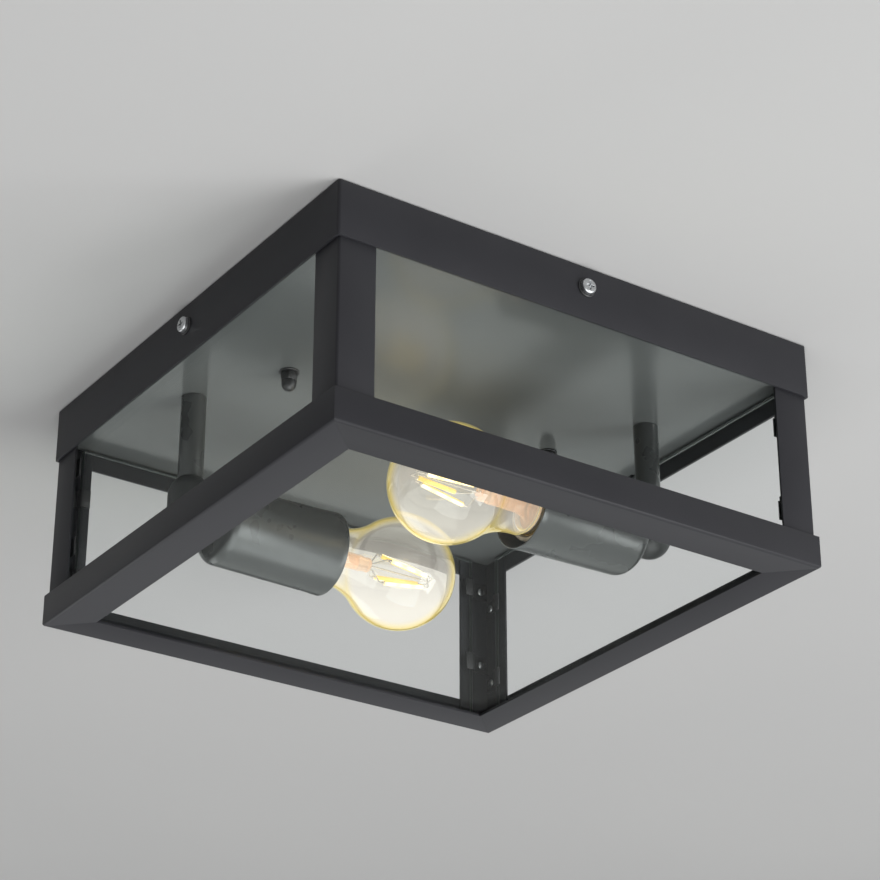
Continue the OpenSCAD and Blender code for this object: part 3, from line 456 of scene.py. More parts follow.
def ground_pane(name, low, high, thin_axis):
    """A pane with its edges ground at 45 degrees, and the edge's material in its second slot."""
    pane = block(name, low, high)
    pane.data.materials.append(float_glass)
    pane.data.materials.append(ground_edge)
    shape(pane)
    bpy.ops.mesh.select_all(action="SELECT")
    bpy.ops.mesh.bevel(offset=ground_w * MM, segments=1, affect="EDGES")
    flat = at(thin_axis, low["XYZ".index(thin_axis)], high["XYZ".index(thin_axis)])
    pick("FACE", lambda corners: not flat(corners))
    pane.active_material_index = 1
    bpy.ops.object.material_slot_assign()
    bpy.ops.object.mode_set(mode="OBJECT")
    return pane


pane = ground_pane("side_glass_1", (-pane_half, -pane_outer, pane_foot),
                   (pane_half, pane_t - pane_outer, pane_top), "Y")
for n, piece in enumerate(four_of(pane, "side_glass"), 1):
    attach(piece, "lantern")
    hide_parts(f"side_pane_{n}")
under = ground_pane("bottom_glass", (-under_half, -under_half, pane_foot),
                    (under_half, under_half, pane_foot + pane_t), "Z")
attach(under, "lantern")
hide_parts("bottom_pane")

# ---- Glass clips -----------------------------------------------------------------------------
# Sixteen clips bent from 0.8 mm steel strip and blackened. A stud on the post holds the foot of
# each, and its tongue presses the pane against the post.
clip_t = 0.8
clip_h = 10
clip_foot = 137
clip_riser = 125.3
clip_rise = 3.4
clip_tongue = 5
clip_fold_r = 0.7
clip_places = ((-1, -38), (-1, -83.5), (1, -49), (1, -94.5))

# Phosphated and oiled steel: dull black, with lighter clouds some 4 mm wide.
black_steel, black_shader = new_finish("blackened_steel")
black_place = add_node(black_steel, "ShaderNodeTexCoord")
black_cloud = add_node(black_steel, "ShaderNodeTexNoise", {
    "Vector": black_place.outputs["Object"], "Scale": 1 / (4 * MM), "Detail": 4.0})
black_tone = add_node(black_steel, "ShaderNodeMix", {
    "Factor": black_cloud.outputs["Fac"], "A": linear("#3a3a3b"), "B": linear("#565657")},
    data_type="RGBA")
black_gloss = add_node(black_steel, "ShaderNodeMapRange", {
    "Value": black_cloud.outputs["Fac"], "To Min": 0.34, "To Max": 0.5})
feed(black_steel, black_shader, {
    "Metallic": 0.8, "Base Color": black_tone.outputs["Result"],
    "Roughness": black_gloss.outputs["Result"]})

clip = block("clip", (-clip_foot, -post_inner, -clip_h / 2),
             (-clip_riser, clip_t - post_inner, clip_h / 2))
shape(clip)
cut_away(lambda corners: not at("Y", -post_inner)(corners))
pick("EDGE", at("X", -clip_riser))
bpy.ops.mesh.extrude_edges_move(TRANSFORM_OT_translate={"value": (0, clip_rise * MM, 0)})
bpy.ops.mesh.extrude_edges_move(TRANSFORM_OT_translate={"value": (clip_tongue * MM, 0, 0)})
pick("EDGE", lambda corners: at("X", -clip_riser)(corners) and upright(corners))
bpy.ops.mesh.bevel(offset=clip_fold_r * MM, segments=4, affect="EDGES")
bpy.ops.object.mode_set(mode="OBJECT")
thicken(clip, clip_t)
soften(clip, 0.12)


def joined(pieces, name):
    """Joins pieces into one."""
    work_on(*pieces)
    bpy.ops.object.join()
    return name_piece(name)


def set_round(pattern, name):
    """Copies a piece made for the -X end of side 1, at height 0, to all sixteen clip places."""
    copies = []
    for side in range(4):
        for end, height in clip_places:
            work_on(pattern)
            bpy.ops.object.duplicate(linked=False)
            copy = bpy.context.object
            copy.location = (0, 0, height * MM)
            copy.scale = (-end, 1, 1)
            settle()
            if end > 0:
                bpy.ops.object.mode_set(mode="EDIT")
                bpy.ops.mesh.select_all(action="SELECT")
                bpy.ops.mesh.normals_make_consistent(inside=False)
                bpy.ops.object.mode_set(mode="OBJECT")
            copy.rotation_euler = (0, 0, math.radians(90 * side))
            settle()
            copies.append(copy)
    bpy.data.objects.remove(pattern)
    return joined(copies, name)


clips = set_round(clip, "pane_clips")
hand_over(clips, "lantern", "black_steel", ["glass_clips"], black_steel)

# ---- Clip studs ------------------------------------------------------------------------------
# Small studs welded to the posts, with domed bright heads that hold the clips' feet.


def turn(name, outline, centre, axis, steps=64):
    """Turns an outline of (radius, place along the axis) about an axis through a centre, in mm."""
    along = Vector([letter == axis for letter in "XYZ"])
    out = Vector((0, 0, 1)) if axis == "X" else Vector((1, 0, 0))
    points = [(Vector(centre) + out * radius + along * place) * MM for radius, place in outline]
    bpy.ops.object.select_all(action="DESELECT")
    bpy.ops.mesh.primitive_plane_add(size=MM, location=(0, 0, 0))
    piece = name_piece(name)
    bpy.ops.object.mode_set(mode="EDIT")
    bpy.ops.mesh.select_mode(type="VERT")
    bpy.ops.mesh.select_all(action="SELECT")
    bpy.ops.mesh.merge(type="CENTER")
    bpy.ops.transform.translate(value=points[0])
    for here, there in zip(points, points[1:]):
        bpy.ops.mesh.extrude_vertices_move(TRANSFORM_OT_translate={"value": there - here})
    bpy.ops.mesh.select_all(action="SELECT")
    bpy.ops.mesh.spin(steps=steps, angle=math.tau, center=Vector(centre) * MM, axis=along)
    bpy.ops.mesh.select_all(action="SELECT")
    bpy.ops.mesh.remove_doubles(threshold=0.002 * MM)
    bpy.ops.mesh.normals_make_consistent(inside=False)
    bpy.ops.object.mode_set(mode="OBJECT")
    bpy.ops.object.shade_smooth_by_angle(angle=math.radians(35))
    return piece


# Bright zinc plate on steel: a bluish silver, with a soft cloudiness of a few millimetres.
zinc_plate, zinc_shader = new_finish("bright_zinc_plate")
zinc_place = add_node(zinc_plate, "ShaderNodeTexCoord")
zinc_cloud = add_node(zinc_plate, "ShaderNodeTexNoise", {
    "Vector": zinc_place.outputs["Object"], "Scale": 1 / (3 * MM), "Detail": 3.0})
zinc_tone = add_node(zinc_plate, "ShaderNodeMix", {
    "Factor": zinc_cloud.outputs["Fac"], "A": linear("#b4b6b8"), "B": linear("#d2d4d6")},
    data_type="RGBA")
zinc_gloss = add_node(zinc_plate, "ShaderNodeMapRange", {
    "Value": zinc_cloud.outputs["Fac"], "To Min": 0.22, "To Max": 0.38})
feed(zinc_plate, zinc_shader, {
    "Metallic": 1.0, "Base Color": zinc_tone.outputs["Result"],
    "Roughness": zinc_gloss.outputs["Result"]})

stud_x = -132.5
stud_r = 1.5
stud_h = 2
stud_head_r = 2.2
stud_dome = 0.9
dome_angles = [math.radians(15 * i) for i in range(6)]
stud = turn("stud", [(0, 0), (stud_r, 0), (stud_r, clip_t), (stud_head_r - 0.1, clip_t)] +
            [(stud_head_r * math.cos(a), stud_h - stud_dome + stud_dome * math.sin(a))
             for a in dome_angles] + [(0, stud_h)], (stud_x, -post_inner, 0), "Y", 32)
studs = set_round(stud, "post_studs")
hand_over(studs, "lantern", "zinc_steel", ["clip_studs"], zinc_plate)

# ---- Side screws -----------------------------------------------------------------------------
# Zinc plated M4 pan-head screws with a cross recess, one in the middle of each side, on dark
# washers. Square nuts inside the pan's walls take them.
screw_z = -11.6
shank_r = 2
shank_end = -134.1
screw_head_r = 4
screw_head_h = 2.6
head_round = 1.2
washer_t = 0.8
head_foot = -half_w - washer_t
shank_l = shank_end - head_foot


def arc(middle, radius, start, end, count):
    """Points of a round corner in an outline."""
    angles = [math.radians(start + (end - start) * i / count) for i in range(count + 1)]
    return [(middle[0] + radius * math.cos(a), middle[1] + radius * math.sin(a)) for a in angles]


screw = turn("side_screw_1", [
    (0, shank_l), (shank_r - 0.4, shank_l), (shank_r, shank_l - 0.5), (shank_r, 0),
    (screw_head_r - 0.2, 0), (screw_head_r, -0.2)] +
    arc((screw_head_r - head_round, head_round - screw_head_h), head_round, 0, -90, 6) +
    [(0, -screw_head_h)], (0, head_foot, screw_z), "Y", 48)
cross_half_l = 2.4
cross_half_w = 0.45
cross_floor = head_foot - screw_head_h + 1.4
cross_mouth = head_foot - screw_head_h - 1
recess = block("recess", (-cross_half_l, cross_mouth, screw_z - cross_half_w),
               (cross_half_l, cross_floor, screw_z + cross_half_w))
recess_across = block("recess_across", (-cross_half_w, cross_mouth, screw_z - cross_half_l),
                      (cross_half_w, cross_floor, screw_z + cross_half_l))
for cutter in (recess, recess_across):
    modify(screw, "BOOLEAN", operation="DIFFERENCE", solver="EXACT", object=cutter)
    bpy.data.objects.remove(cutter)
soften(screw, 0.08, 50, 1)
screws = joined(four_of(screw, "side_screw"), "pan_head_screws")
hand_over(screws, "lantern", "zinc_steel", ["side_screws"], zinc_plate)

washer_bore_r = 2.15
washer_r = 4.8
washer = turn("washer_1", [
    (washer_bore_r, 0), (washer_bore_r, -washer_t), (washer_r - 0.3, -washer_t),
    (washer_r, -washer_t + 0.25), (washer_r, 0), (washer_bore_r, 0)],
    (0, -half_w, screw_z), "Y", 48)
washers = joined(four_of(washer, "washer"), "screw_washers")
hand_over(washers, "lantern", "black_steel", ["side_washers"], black_steel)

nut_outer = 136.8
nut_t = 2.2
nut_half = 3.5
nut = block("square_nut_1", (-nut_half, -nut_outer, screw_z - nut_half),
            (nut_half, nut_t - nut_outer, screw_z + nut_half))
shape(nut)
pick("FACE", at("Y", nut_t - nut_outer))
bpy.ops.mesh.inset(thickness=1.2 * MM)
bpy.ops.transform.translate(value=(0, -0.15 * MM, 0))
bpy.ops.object.mode_set(mode="OBJECT")
soften(nut, 0.3)
nuts = joined(four_of(nut, "square_nut"), "square_nuts")
hand_over(nuts, "lantern", "zinc_steel", ["screw_nuts"], zinc_plate)

# ---- Base pan --------------------------------------------------------------------------------
# A flat floor of 1 mm sheet with a folded channel frame spot welded on its edges, stove enamelled
# mid grey. It is pulled up against the ceiling on two studs, and everything else hangs from it.
# Both keep their CAD shapes, with the notches that let the screws drop out.

# Stove enamel: smooth, semi-gloss, with a slight waviness some 25 mm wide from the pressing.
pan_enamel, enamel_shader = new_finish("grey_stove_enamel")
enamel_place = add_node(pan_enamel, "ShaderNodeTexCoord")
enamel_cloud = add_node(pan_enamel, "ShaderNodeTexNoise", {
    "Vector": enamel_place.outputs["Object"], "Scale": 1 / (60 * MM), "Detail": 2.0})
enamel_tone = add_node(pan_enamel, "ShaderNodeMix", {
    "Factor": enamel_cloud.outputs["Fac"], "A": linear("#676a6a"), "B": linear("#707373")},
    data_type="RGBA")
enamel_gloss = add_node(pan_enamel, "ShaderNodeMapRange", {
    "Value": enamel_cloud.outputs["Fac"], "To Min": 0.13, "To Max": 0.20})
enamel_wave = add_node(pan_enamel, "ShaderNodeTexNoise", {
    "Vector": enamel_place.outputs["Object"], "Scale": 1 / (25 * MM), "Detail": 1.0})
enamel_bump = add_node(pan_enamel, "ShaderNodeBump", {
    "Height": enamel_wave.outputs["Fac"], "Strength": 0.2, "Distance": 0.12 * MM})
feed(pan_enamel, enamel_shader, {
    "Base Color": enamel_tone.outputs["Result"], "Roughness": enamel_gloss.outputs["Result"],
    "Normal": enamel_bump.outputs["Normal"]})


def refinish(node, finish):
    """Gives a CAD node that keeps its shape its material."""
    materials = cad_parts[node].data.materials
    materials.clear()
    materials.append(finish)


refinish("base_pan", pan_enamel)
refinish("pan_frame", pan_enamel)

# Closed-cell rubber foam, die cut: dull black, with a grain of cells about 0.6 mm across, drawn
# at 0.9 mm so that they show.
foam_rubber, foam_shader = new_finish("black_foam_rubber")
foam_place = add_node(foam_rubber, "ShaderNodeTexCoord")
foam_cells = add_node(foam_rubber, "ShaderNodeTexVoronoi", {
    "Vector": foam_place.outputs["Object"], "Scale": 1 / (0.9 * MM)})
foam_tone = add_node(foam_rubber, "ShaderNodeMix", {
    "Factor": foam_cells.outputs["Distance"], "A": linear("#191919"), "B": linear("#2c2c2c")},
    data_type="RGBA")
foam_bump = add_node(foam_rubber, "ShaderNodeBump", {
    "Height": foam_cells.outputs["Distance"], "Strength": 0.5, "Distance": 0.2 * MM})
feed(foam_rubber, foam_shader, {
    "Roughness": 0.9, "Base Color": foam_tone.outputs["Result"],
    "Normal": foam_bump.outputs["Normal"]})
refinish("pan_gasket", foam_rubber)

# ---- Ceiling bracket -------------------------------------------------------------------------
# A 2 mm zinc plated steel crossbar that is screwed to the ceiling first, with two welded studs.
refinish("ceiling_bracket", zinc_plate)
refinish("bracket_studs", zinc_plate)

# ---- Cap nuts --------------------------------------------------------------------------------
# Blackened M5 cap nuts on washers, which are all that shows of the fixing under the pan.
nut_seat = -20.2
nut_x = 80
hex_af = 8
hex_h = 4.5
hex_corner_r = hex_af / 2 / math.cos(math.pi / 6)
chamfer_r = 4.62
cap_r = 3.7
cap_round = -6.3
bpy.ops.object.select_all(action="DESELECT")
bpy.ops.mesh.primitive_cylinder_add(
    vertices=6, radius=hex_corner_r * MM, depth=hex_h * MM,
    location=(nut_x * MM, 0, (nut_seat - hex_h / 2) * MM), rotation=(0, 0, math.pi / 6))
settle()
hexagon = name_piece("hexagon")
chamfer = turn("chamfer", [
    (0, 0), (chamfer_r - 0.52, 0), (chamfer_r, -0.5), (chamfer_r, 0.5 - hex_h),
    (chamfer_r - 0.52, -hex_h), (0, -hex_h)], (nut_x, 0, nut_seat), "Z", 48)
modify(hexagon, "BOOLEAN", operation="INTERSECT", solver="EXACT", object=chamfer)
bpy.data.objects.remove(chamfer)
soften(hexagon, 0.12, 25, 1)
dome = turn("dome", [(0, -1), (cap_r, -1)] + arc((0, cap_round), cap_r, 0, -90, 12),
            (nut_x, 0, nut_seat), "Z", 48)
cap_nut = joined((hexagon, dome), "cap_nut_right")
for piece in (cap_nut, copy_turned(cap_nut, "cap_nut_left", 180)):
    hand_over(piece, "root", "black_steel", ["cap_nuts"], black_steel)

ring_bore_r = 2.75
ring_r = 5
ring_t = 1
ring = turn("nut_washer_right", [
    (ring_bore_r, 0), (ring_r - 0.2, 0), (ring_r, 0.2), (ring_r, ring_t - 0.2),
    (ring_r - 0.2, ring_t), (ring_bore_r, ring_t), (ring_bore_r, 0)],
    (nut_x, 0, nut_seat), "Z", 48)
for piece in (ring, copy_turned(ring, "nut_washer_left", 180)):
    hand_over(piece, "root", "black_steel", ["nut_washers"], black_steel)

# ---- Wiring in the pan -----------------------------------------------------------------------
# A three-pole terminal for the house supply, with brass clamp screws, an earthing stud on the
# pan, and silicone-covered leads to the lamp holders.

# Moulded polyamide: ivory and matt, with a fine eroded grain, drawn at 0.7 mm so that it shows.
polyamide, block_shader = new_finish("ivory_polyamide")
block_place = add_node(polyamide, "ShaderNodeTexCoord")
block_grain = add_node(polyamide, "ShaderNodeTexNoise", {
    "Vector": block_place.outputs["Object"], "Scale": 1 / (0.7 * MM), "Detail": 2.0})
block_bump = add_node(polyamide, "ShaderNodeBump", {
    "Height": block_grain.outputs["Fac"], "Strength": 0.2, "Distance": 0.05 * MM})
block_tone = add_node(polyamide, "ShaderNodeMix", {
    "Factor": block_grain.outputs["Fac"], "A": linear("#e0dbc8"), "B": linear("#ebe7d8")},
    data_type="RGBA")
feed(polyamide, block_shader, {
    "Roughness": 0.5, "Base Color": block_tone.outputs["Result"],
    "Normal": block_bump.outputs["Normal"]})
refinish("terminal_block", polyamide)

# Brass, turned or pressed and left bare: yellow, with a light brown tarnish in clouds.
brass, brass_shader = new_finish("bare_brass")
brass_place = add_node(brass, "ShaderNodeTexCoord")
brass_cloud = add_node(brass, "ShaderNodeTexNoise", {
    "Vector": brass_place.outputs["Object"], "Scale": 1 / (5 * MM), "Detail": 3.0})
brass_tone = add_node(brass, "ShaderNodeMix", {
    "Factor": brass_cloud.outputs["Fac"], "A": linear("#a98a4a"), "B": linear("#cdb06a")},
    data_type="RGBA")
brass_gloss = add_node(brass, "ShaderNodeMapRange", {
    "Value": brass_cloud.outputs["Fac"], "To Min": 0.24, "To Max": 0.4})
feed(brass, brass_shader, {
    "Metallic": 1.0, "Base Color": brass_tone.outputs["Result"],
    "Roughness": brass_gloss.outputs["Result"]})
refinish("terminal_screws", brass)
refinish("earth_stud", brass)
refinish("socket_shells", brass)
refinish("centre_contacts", brass)

# Silicone sleeving: soft and matt. The earth lead has the green and yellow stripes, some 8 mm
# long, and the lamp leads are brown, with a faint cloudiness.
earth_sleeve, earth_shader = new_finish("earth_sleeving")
earth_place = add_node(earth_sleeve, "ShaderNodeTexCoord")
earth_band = add_node(earth_sleeve, "ShaderNodeTexWave", {
    "Vector": earth_place.outputs["Object"], "Scale": 0.05 / (8 * MM), "Distortion": 0.0},
    wave_type="BANDS", bands_direction="DIAGONAL")
earth_step = add_node(earth_sleeve, "ShaderNodeMath", {0: earth_band.outputs["Fac"], 1: 0.5},
                      operation="GREATER_THAN")
earth_tone = add_node(earth_sleeve, "ShaderNodeMix", {
    "Factor": earth_step.outputs["Value"], "A": linear("#3f7d33"), "B": linear("#d9c73a")},
    data_type="RGBA")
feed(earth_sleeve, earth_shader, {"Roughness": 0.6, "Base Color": earth_tone.outputs["Result"]})
refinish("earth_lead", earth_sleeve)

lead_sleeve, lead_shader = new_finish("brown_silicone_sleeving")
lead_place = add_node(lead_sleeve, "ShaderNodeTexCoord")
lead_cloud = add_node(lead_sleeve, "ShaderNodeTexNoise", {
    "Vector": lead_place.outputs["Object"], "Scale": 1 / (6 * MM), "Detail": 3.0})
lead_tone = add_node(lead_sleeve, "ShaderNodeMix", {
    "Factor": lead_cloud.outputs["Fac"], "A": linear("#5a3825"), "B": linear("#6d4632")},
    data_type="RGBA")
feed(lead_sleeve, lead_shader, {"Roughness": 0.62, "Base Color": lead_tone.outputs["Result"]})
refinish("lamp_leads", lead_sleeve)

# ---- Drop tubes ------------------------------------------------------------------------------
# Steel sleeves that space the lamp holders off the pan, lacquered in the holders' grey. The
# hollow threaded rods inside them, with their nuts, carry the load and the leads.
tube_x = -105.1
lamp_y = 52

# Nitro lacquer over drawn steel: dark grey, semi-gloss, with fine lines 0.7 mm apart, round the
# cups and along the tubes, that show only in the highlights.
lacquer, lacquer_shader = new_finish("grey_lacquered_steel")
lacquer_place = add_node(lacquer, "ShaderNodeTexCoord")
lacquer_cloud = add_node(lacquer, "ShaderNodeTexNoise", {
    "Vector": lacquer_place.outputs["Object"], "Scale": 1 / (18 * MM), "Detail": 3.0})
lacquer_tone = add_node(lacquer, "ShaderNodeMix", {
    "Factor": lacquer_cloud.outputs["Fac"], "A": linear("#545656"), "B": linear("#5e6060")},
    data_type="RGBA")
lacquer_gloss = add_node(lacquer, "ShaderNodeMapRange", {
    "Value": lacquer_cloud.outputs["Fac"], "To Min": 0.24, "To Max": 0.32})
lacquer_lines = add_node(lacquer, "ShaderNodeMapping", {
    "Vector": lacquer_place.outputs["Object"], "Scale": (1, 0.04, 0.04)})
lacquer_draw = add_node(lacquer, "ShaderNodeTexNoise", {
    "Vector": lacquer_lines.outputs["Vector"], "Scale": 1 / (0.7 * MM), "Detail": 2.0})
lacquer_bump = add_node(lacquer, "ShaderNodeBump", {
    "Height": lacquer_draw.outputs["Fac"], "Strength": 0.03, "Distance": 0.02 * MM})
feed(lacquer, lacquer_shader, {
    "Metallic": 0.4, "Base Color": lacquer_tone.outputs["Result"],
    "Roughness": lacquer_gloss.outputs["Result"], "Normal": lacquer_bump.outputs["Normal"]})

tube_foot = -65.63
tube_top = -19.2
tube_bore_r = 5.3
tube_r = 6.5
tube_edge = 0.3
tube = turn("drop_sleeve_left", [
    (tube_bore_r, tube_foot + tube_edge), (tube_bore_r + tube_edge, tube_foot),
    (tube_r - tube_edge, tube_foot), (tube_r, tube_foot + tube_edge),
    (tube_r, tube_top - tube_edge), (tube_r - tube_edge, tube_top),
    (tube_bore_r + tube_edge, tube_top), (tube_bore_r, tube_top - tube_edge),
    (tube_bore_r, tube_foot + tube_edge)], (tube_x, lamp_y, 0), "Z", 64)


def hand_over_both(left, body, slot, node, *finishes):
    """Hands over the left lamp's piece and its copy at the right, with the side named for {}."""
    right = copy_turned(left, left.name.replace("left", "right"), 180)
    for piece, side in ((left, "left"), (right, "right")):
        hand_over(piece, body.format(side), slot, [node.format(side)], *finishes)


hand_over_both(tube, "root", "holder_grey", "tube_{}", lacquer)
refinish("drop_nipples", zinc_plate)
refinish("nipple_nuts", zinc_plate)
refinish("holder_nipples", zinc_plate)
refinish("holder_nuts", zinc_plate)
refinish("holder_saddles", zinc_plate)

# ---- Knuckles --------------------------------------------------------------------------------
# Die-cast zinc elbows, domed above and rounded below, that turn the rod to the lamp holder.
# They are tumbled and lacquered, so that every edge and the root of the boss are soft.
lamp_z = -85
lamp_at = (tube_x, lamp_y, lamp_z)
knuckle_r = 11
dome_rise = 10.5
foot_drop = 8
dome_h = 8.874
dome_end = math.degrees(math.acos(tube_r / knuckle_r))
boss_r = 7.5
boss_end = 13
boss_edge = 0.4
body = [(0, -foot_drop)] + arc((0, knuckle_r - foot_drop), knuckle_r, -85, 0, 14) + \
    arc((0, dome_rise), knuckle_r, 0, dome_end, 12) + [(0, dome_rise + dome_h)]
knuckle = turn("cast_elbow_left", body, lamp_at, "Z", 64)
boss = turn("boss", [(0, 0), (boss_r, 0), (boss_r, boss_end - boss_edge),
                     (boss_r - boss_edge, boss_end), (0, boss_end)], lamp_at, "X", 64)
modify(knuckle, "BOOLEAN", operation="UNION", solver="EXACT", object=boss)
bpy.data.objects.remove(boss)
modify(knuckle, "REMESH", mode="VOXEL", voxel_size=0.55 * MM)
modify(knuckle, "SMOOTH", factor=0.6, iterations=8)
work_on(knuckle)
bpy.ops.object.shade_smooth()

# Cast zinc under a thin dark lacquer: low gloss, with the fine pitting of the die, 1.2 mm apart.
cast_zinc, cast_shader = new_finish("lacquered_cast_zinc")
cast_place = add_node(cast_zinc, "ShaderNodeTexCoord")
cast_cloud = add_node(cast_zinc, "ShaderNodeTexNoise", {
    "Vector": cast_place.outputs["Object"], "Scale": 1 / (9 * MM), "Detail": 4.0})
cast_tone = add_node(cast_zinc, "ShaderNodeMix", {
    "Factor": cast_cloud.outputs["Fac"], "A": linear("#303132"), "B": linear("#3e4040")},
    data_type="RGBA")
cast_pits = add_node(cast_zinc, "ShaderNodeTexNoise", {
    "Vector": cast_place.outputs["Object"], "Scale": 1 / (1.2 * MM), "Detail": 2.0})
cast_bump = add_node(cast_zinc, "ShaderNodeBump", {
    "Height": cast_pits.outputs["Fac"], "Strength": 0.3, "Distance": 0.08 * MM})
feed(cast_zinc, cast_shader, {
    "Roughness": 0.45, "Metallic": 0.2, "Base Color": cast_tone.outputs["Result"],
    "Normal": cast_bump.outputs["Normal"]})
hand_over_both(knuckle, "root", "knuckle_grey", "knuckle_{}", cast_zinc)

# ---- Lamp holder cups ------------------------------------------------------------------------
# Deep-drawn steel cups, slightly wider at the mouth, lacquered dark grey. Each covers a ceramic
# E27 holder, and a nut on the short nipple clamps it to the elbow.
cup_x = boss_end
mouth_x = 81
back_r = 20.8
mouth_r = 22
cup_t = 0.9
cup_bore_r = 5.05
edge_r = 6
cup = turn("holder_shell_left",
           [(cup_bore_r, cup_x)] + arc((back_r - edge_r, cup_x + edge_r), edge_r, -90, 0, 14) +
           [(mouth_r - 0.25, mouth_x - 4), (mouth_r, mouth_x - 3.4), (mouth_r, mouth_x - 0.3),
            (mouth_r - 0.3, mouth_x), (mouth_r - cup_t + 0.2, mouth_x),
            (mouth_r - cup_t, mouth_x - 0.2)] +
           arc((back_r - edge_r, cup_x + edge_r), edge_r - cup_t, 0, -90, 14) +
           [(cup_bore_r, cup_x + cup_t), (cup_bore_r, cup_x)], lamp_at, "X", 128)
hand_over_both(cup, "root", "holder_grey", "holder_cup_{}", lacquer)

# ---- Ceramic cores ---------------------------------------------------------------------------
# Pressed and fired steatite inserts that carry the threaded shells. Only their front rims show,
# round the lamp's neck.

# Steatite: warm white, unglazed, slightly grainy.
steatite, steatite_shader = new_finish("fired_steatite")
steatite_place = add_node(steatite, "ShaderNodeTexCoord")
steatite_grain = add_node(steatite, "ShaderNodeTexNoise", {
    "Vector": steatite_place.outputs["Object"], "Scale": 1 / (1.0 * MM), "Detail": 4.0})
steatite_tone = add_node(steatite, "ShaderNodeMix", {
    "Factor": steatite_grain.outputs["Fac"], "A": linear("#dedbd2"), "B": linear("#efede6")},
    data_type="RGBA")
steatite_bump = add_node(steatite, "ShaderNodeBump", {
    "Height": steatite_grain.outputs["Fac"], "Strength": 0.2, "Distance": 0.05 * MM})
feed(steatite, steatite_shader, {
    "Roughness": 0.55, "Base Color": steatite_tone.outputs["Result"],
    "Normal": steatite_bump.outputs["Normal"]})
core_back = 41.5
core_front = 75.5
core_floor = 47.5
core_r = 16.8
core_bore_r = 14.8
core_edge = 1
rim_edge = 0.5
core = turn("ceramic_insert_left",
            [(0, core_back), (core_r - core_edge, core_back)] +
            arc((core_r - core_edge, core_back + core_edge), core_edge, -90, 0, 4) +
            arc((core_r - core_edge, core_front - core_edge), core_edge, 0, 90, 4) +
            arc((core_bore_r + rim_edge, core_front - rim_edge), rim_edge, 90, 180, 3) +
            [(core_bore_r, core_floor), (0, core_floor)], lamp_at, "X", 96)
hand_over_both(core, "root", "ceramic_white", "socket_core_{}", steatite)

# ---- Lamps: glass bulbs ----------------------------------------------------------------------
# Clear A60 bulbs blown from soda-lime glass 0.8 mm thick, and sealed to the mount in the neck.
# They are lit; the glass carries a painted glow, cream, with a painted amber rim seen edge on.
cap_x = 77
globe_x = 125
globe_r = 30
neck_r = 15
neck_l = 5.4
glass_t = 0.8
skirt_r = 12.4
cap_lap = 3.5
crimp = 0.8
shoulder_back = globe_x - cap_x - neck_l
shoulder_r = (shoulder_back ** 2 + neck_r ** 2 - globe_r ** 2) / 2 / (globe_r - neck_r)
shoulder_out = neck_r + shoulder_r
meeting = -math.degrees(math.atan2(shoulder_back, shoulder_out))


def envelope(inset):
    """The bulb's outline from its crown to its neck, set in by a wall's thickness."""
    globe = arc((0, globe_x), globe_r - inset, 90, meeting, 48)
    shoulder = arc((shoulder_out, globe_x - shoulder_back), shoulder_r + inset,
                   180 + meeting, 180, 20)
    return globe + shoulder[1:]


bulb = turn("blown_bulb_left", envelope(0) + [
    (neck_r, cap_x + 3.5), (neck_r - crimp, cap_x + 1.9), (skirt_r, cap_x + 0.3),
    (skirt_r, cap_x - cap_lap), (skirt_r - glass_t, cap_x - cap_lap),
    (skirt_r - glass_t, cap_x + 0.7), (neck_r - crimp - glass_t, cap_x + 2.3),
    (neck_r - glass_t, cap_x + 3.9)] + envelope(glass_t)[::-1], lamp_at, "X", 128)
work_on(bulb)
bpy.ops.object.shade_smooth()

# Soda-lime glass with the lamp alight: clear, with a painted warm glow that is strongest low in
# the globe, and a painted amber rim and tint where the eye looks along the wall.
bulb_finish, bulb_shader = new_finish("lit_soda_lime_glass")
bulb_place = add_node(bulb_finish, "ShaderNodeTexCoord")
bulb_axes = add_node(bulb_finish, "ShaderNodeSeparateXYZ", {
    "Vector": bulb_place.outputs["Object"]})
# Painted glow: stronger low in the globe, where the lamp's light is drawn on the glass.
bulb_low = add_node(bulb_finish, "ShaderNodeMapRange", {
    "Value": bulb_axes.outputs["Z"], "From Min": (lamp_z + 10) * MM,
    "From Max": (lamp_z - 14) * MM, "To Min": 0.045, "To Max": 0.125},
    interpolation_type="SMOOTHSTEP")
bulb_facing = add_node(bulb_finish, "ShaderNodeLayerWeight", {"Blend": 0.5})
bulb_rim = add_node(bulb_finish, "ShaderNodeMapRange", {
    "Value": bulb_facing.outputs["Facing"], "From Min": 0.42, "From Max": 0.8},
    interpolation_type="SMOOTHSTEP")
bulb_tint = add_node(bulb_finish, "ShaderNodeMix", {
    "Factor": bulb_rim.outputs["Result"], "A": linear("#fff8ec"), "B": linear("#dcc44c")},
    data_type="RGBA")
# Painted amber rim in the base colour, where the wall is seen edge on.
bulb_painted_rim_colour = add_node(bulb_finish, "ShaderNodeMix", {
    "Factor": bulb_rim.outputs["Result"], "A": linear("#fffdf8"), "B": linear("#ecd98a")},
    data_type="RGBA")
# The painted glow's strength on the glass: more at the rim and low in the globe.
bulb_painted_glow = add_node(bulb_finish, "ShaderNodeMath", {
    0: bulb_rim.outputs["Result"], 1: 0.16, 2: bulb_low.outputs["Result"]},
    operation="MULTIPLY_ADD")
feed(bulb_finish, bulb_shader, {
    "Roughness": 0.0, "IOR": 1.5, "Transmission Weight": 1.0,
    "Emission Color": bulb_tint.outputs["Result"], "Base Color": bulb_painted_rim_colour.outputs["Result"],
    "Emission Strength": bulb_painted_glow.outputs["Value"]})
bulb_path = add_node(bulb_finish, "ShaderNodeLightPath")
bulb_through = add_node(bulb_finish, "ShaderNodeMath", {
    0: bulb_path.outputs["Is Shadow Ray"], 1: bulb_path.outputs["Is Diffuse Ray"]},
    operation="MAXIMUM")
bulb_film = add_node(bulb_finish, "ShaderNodeBsdfTransparent", {"Color": linear("#fdf9f0")})
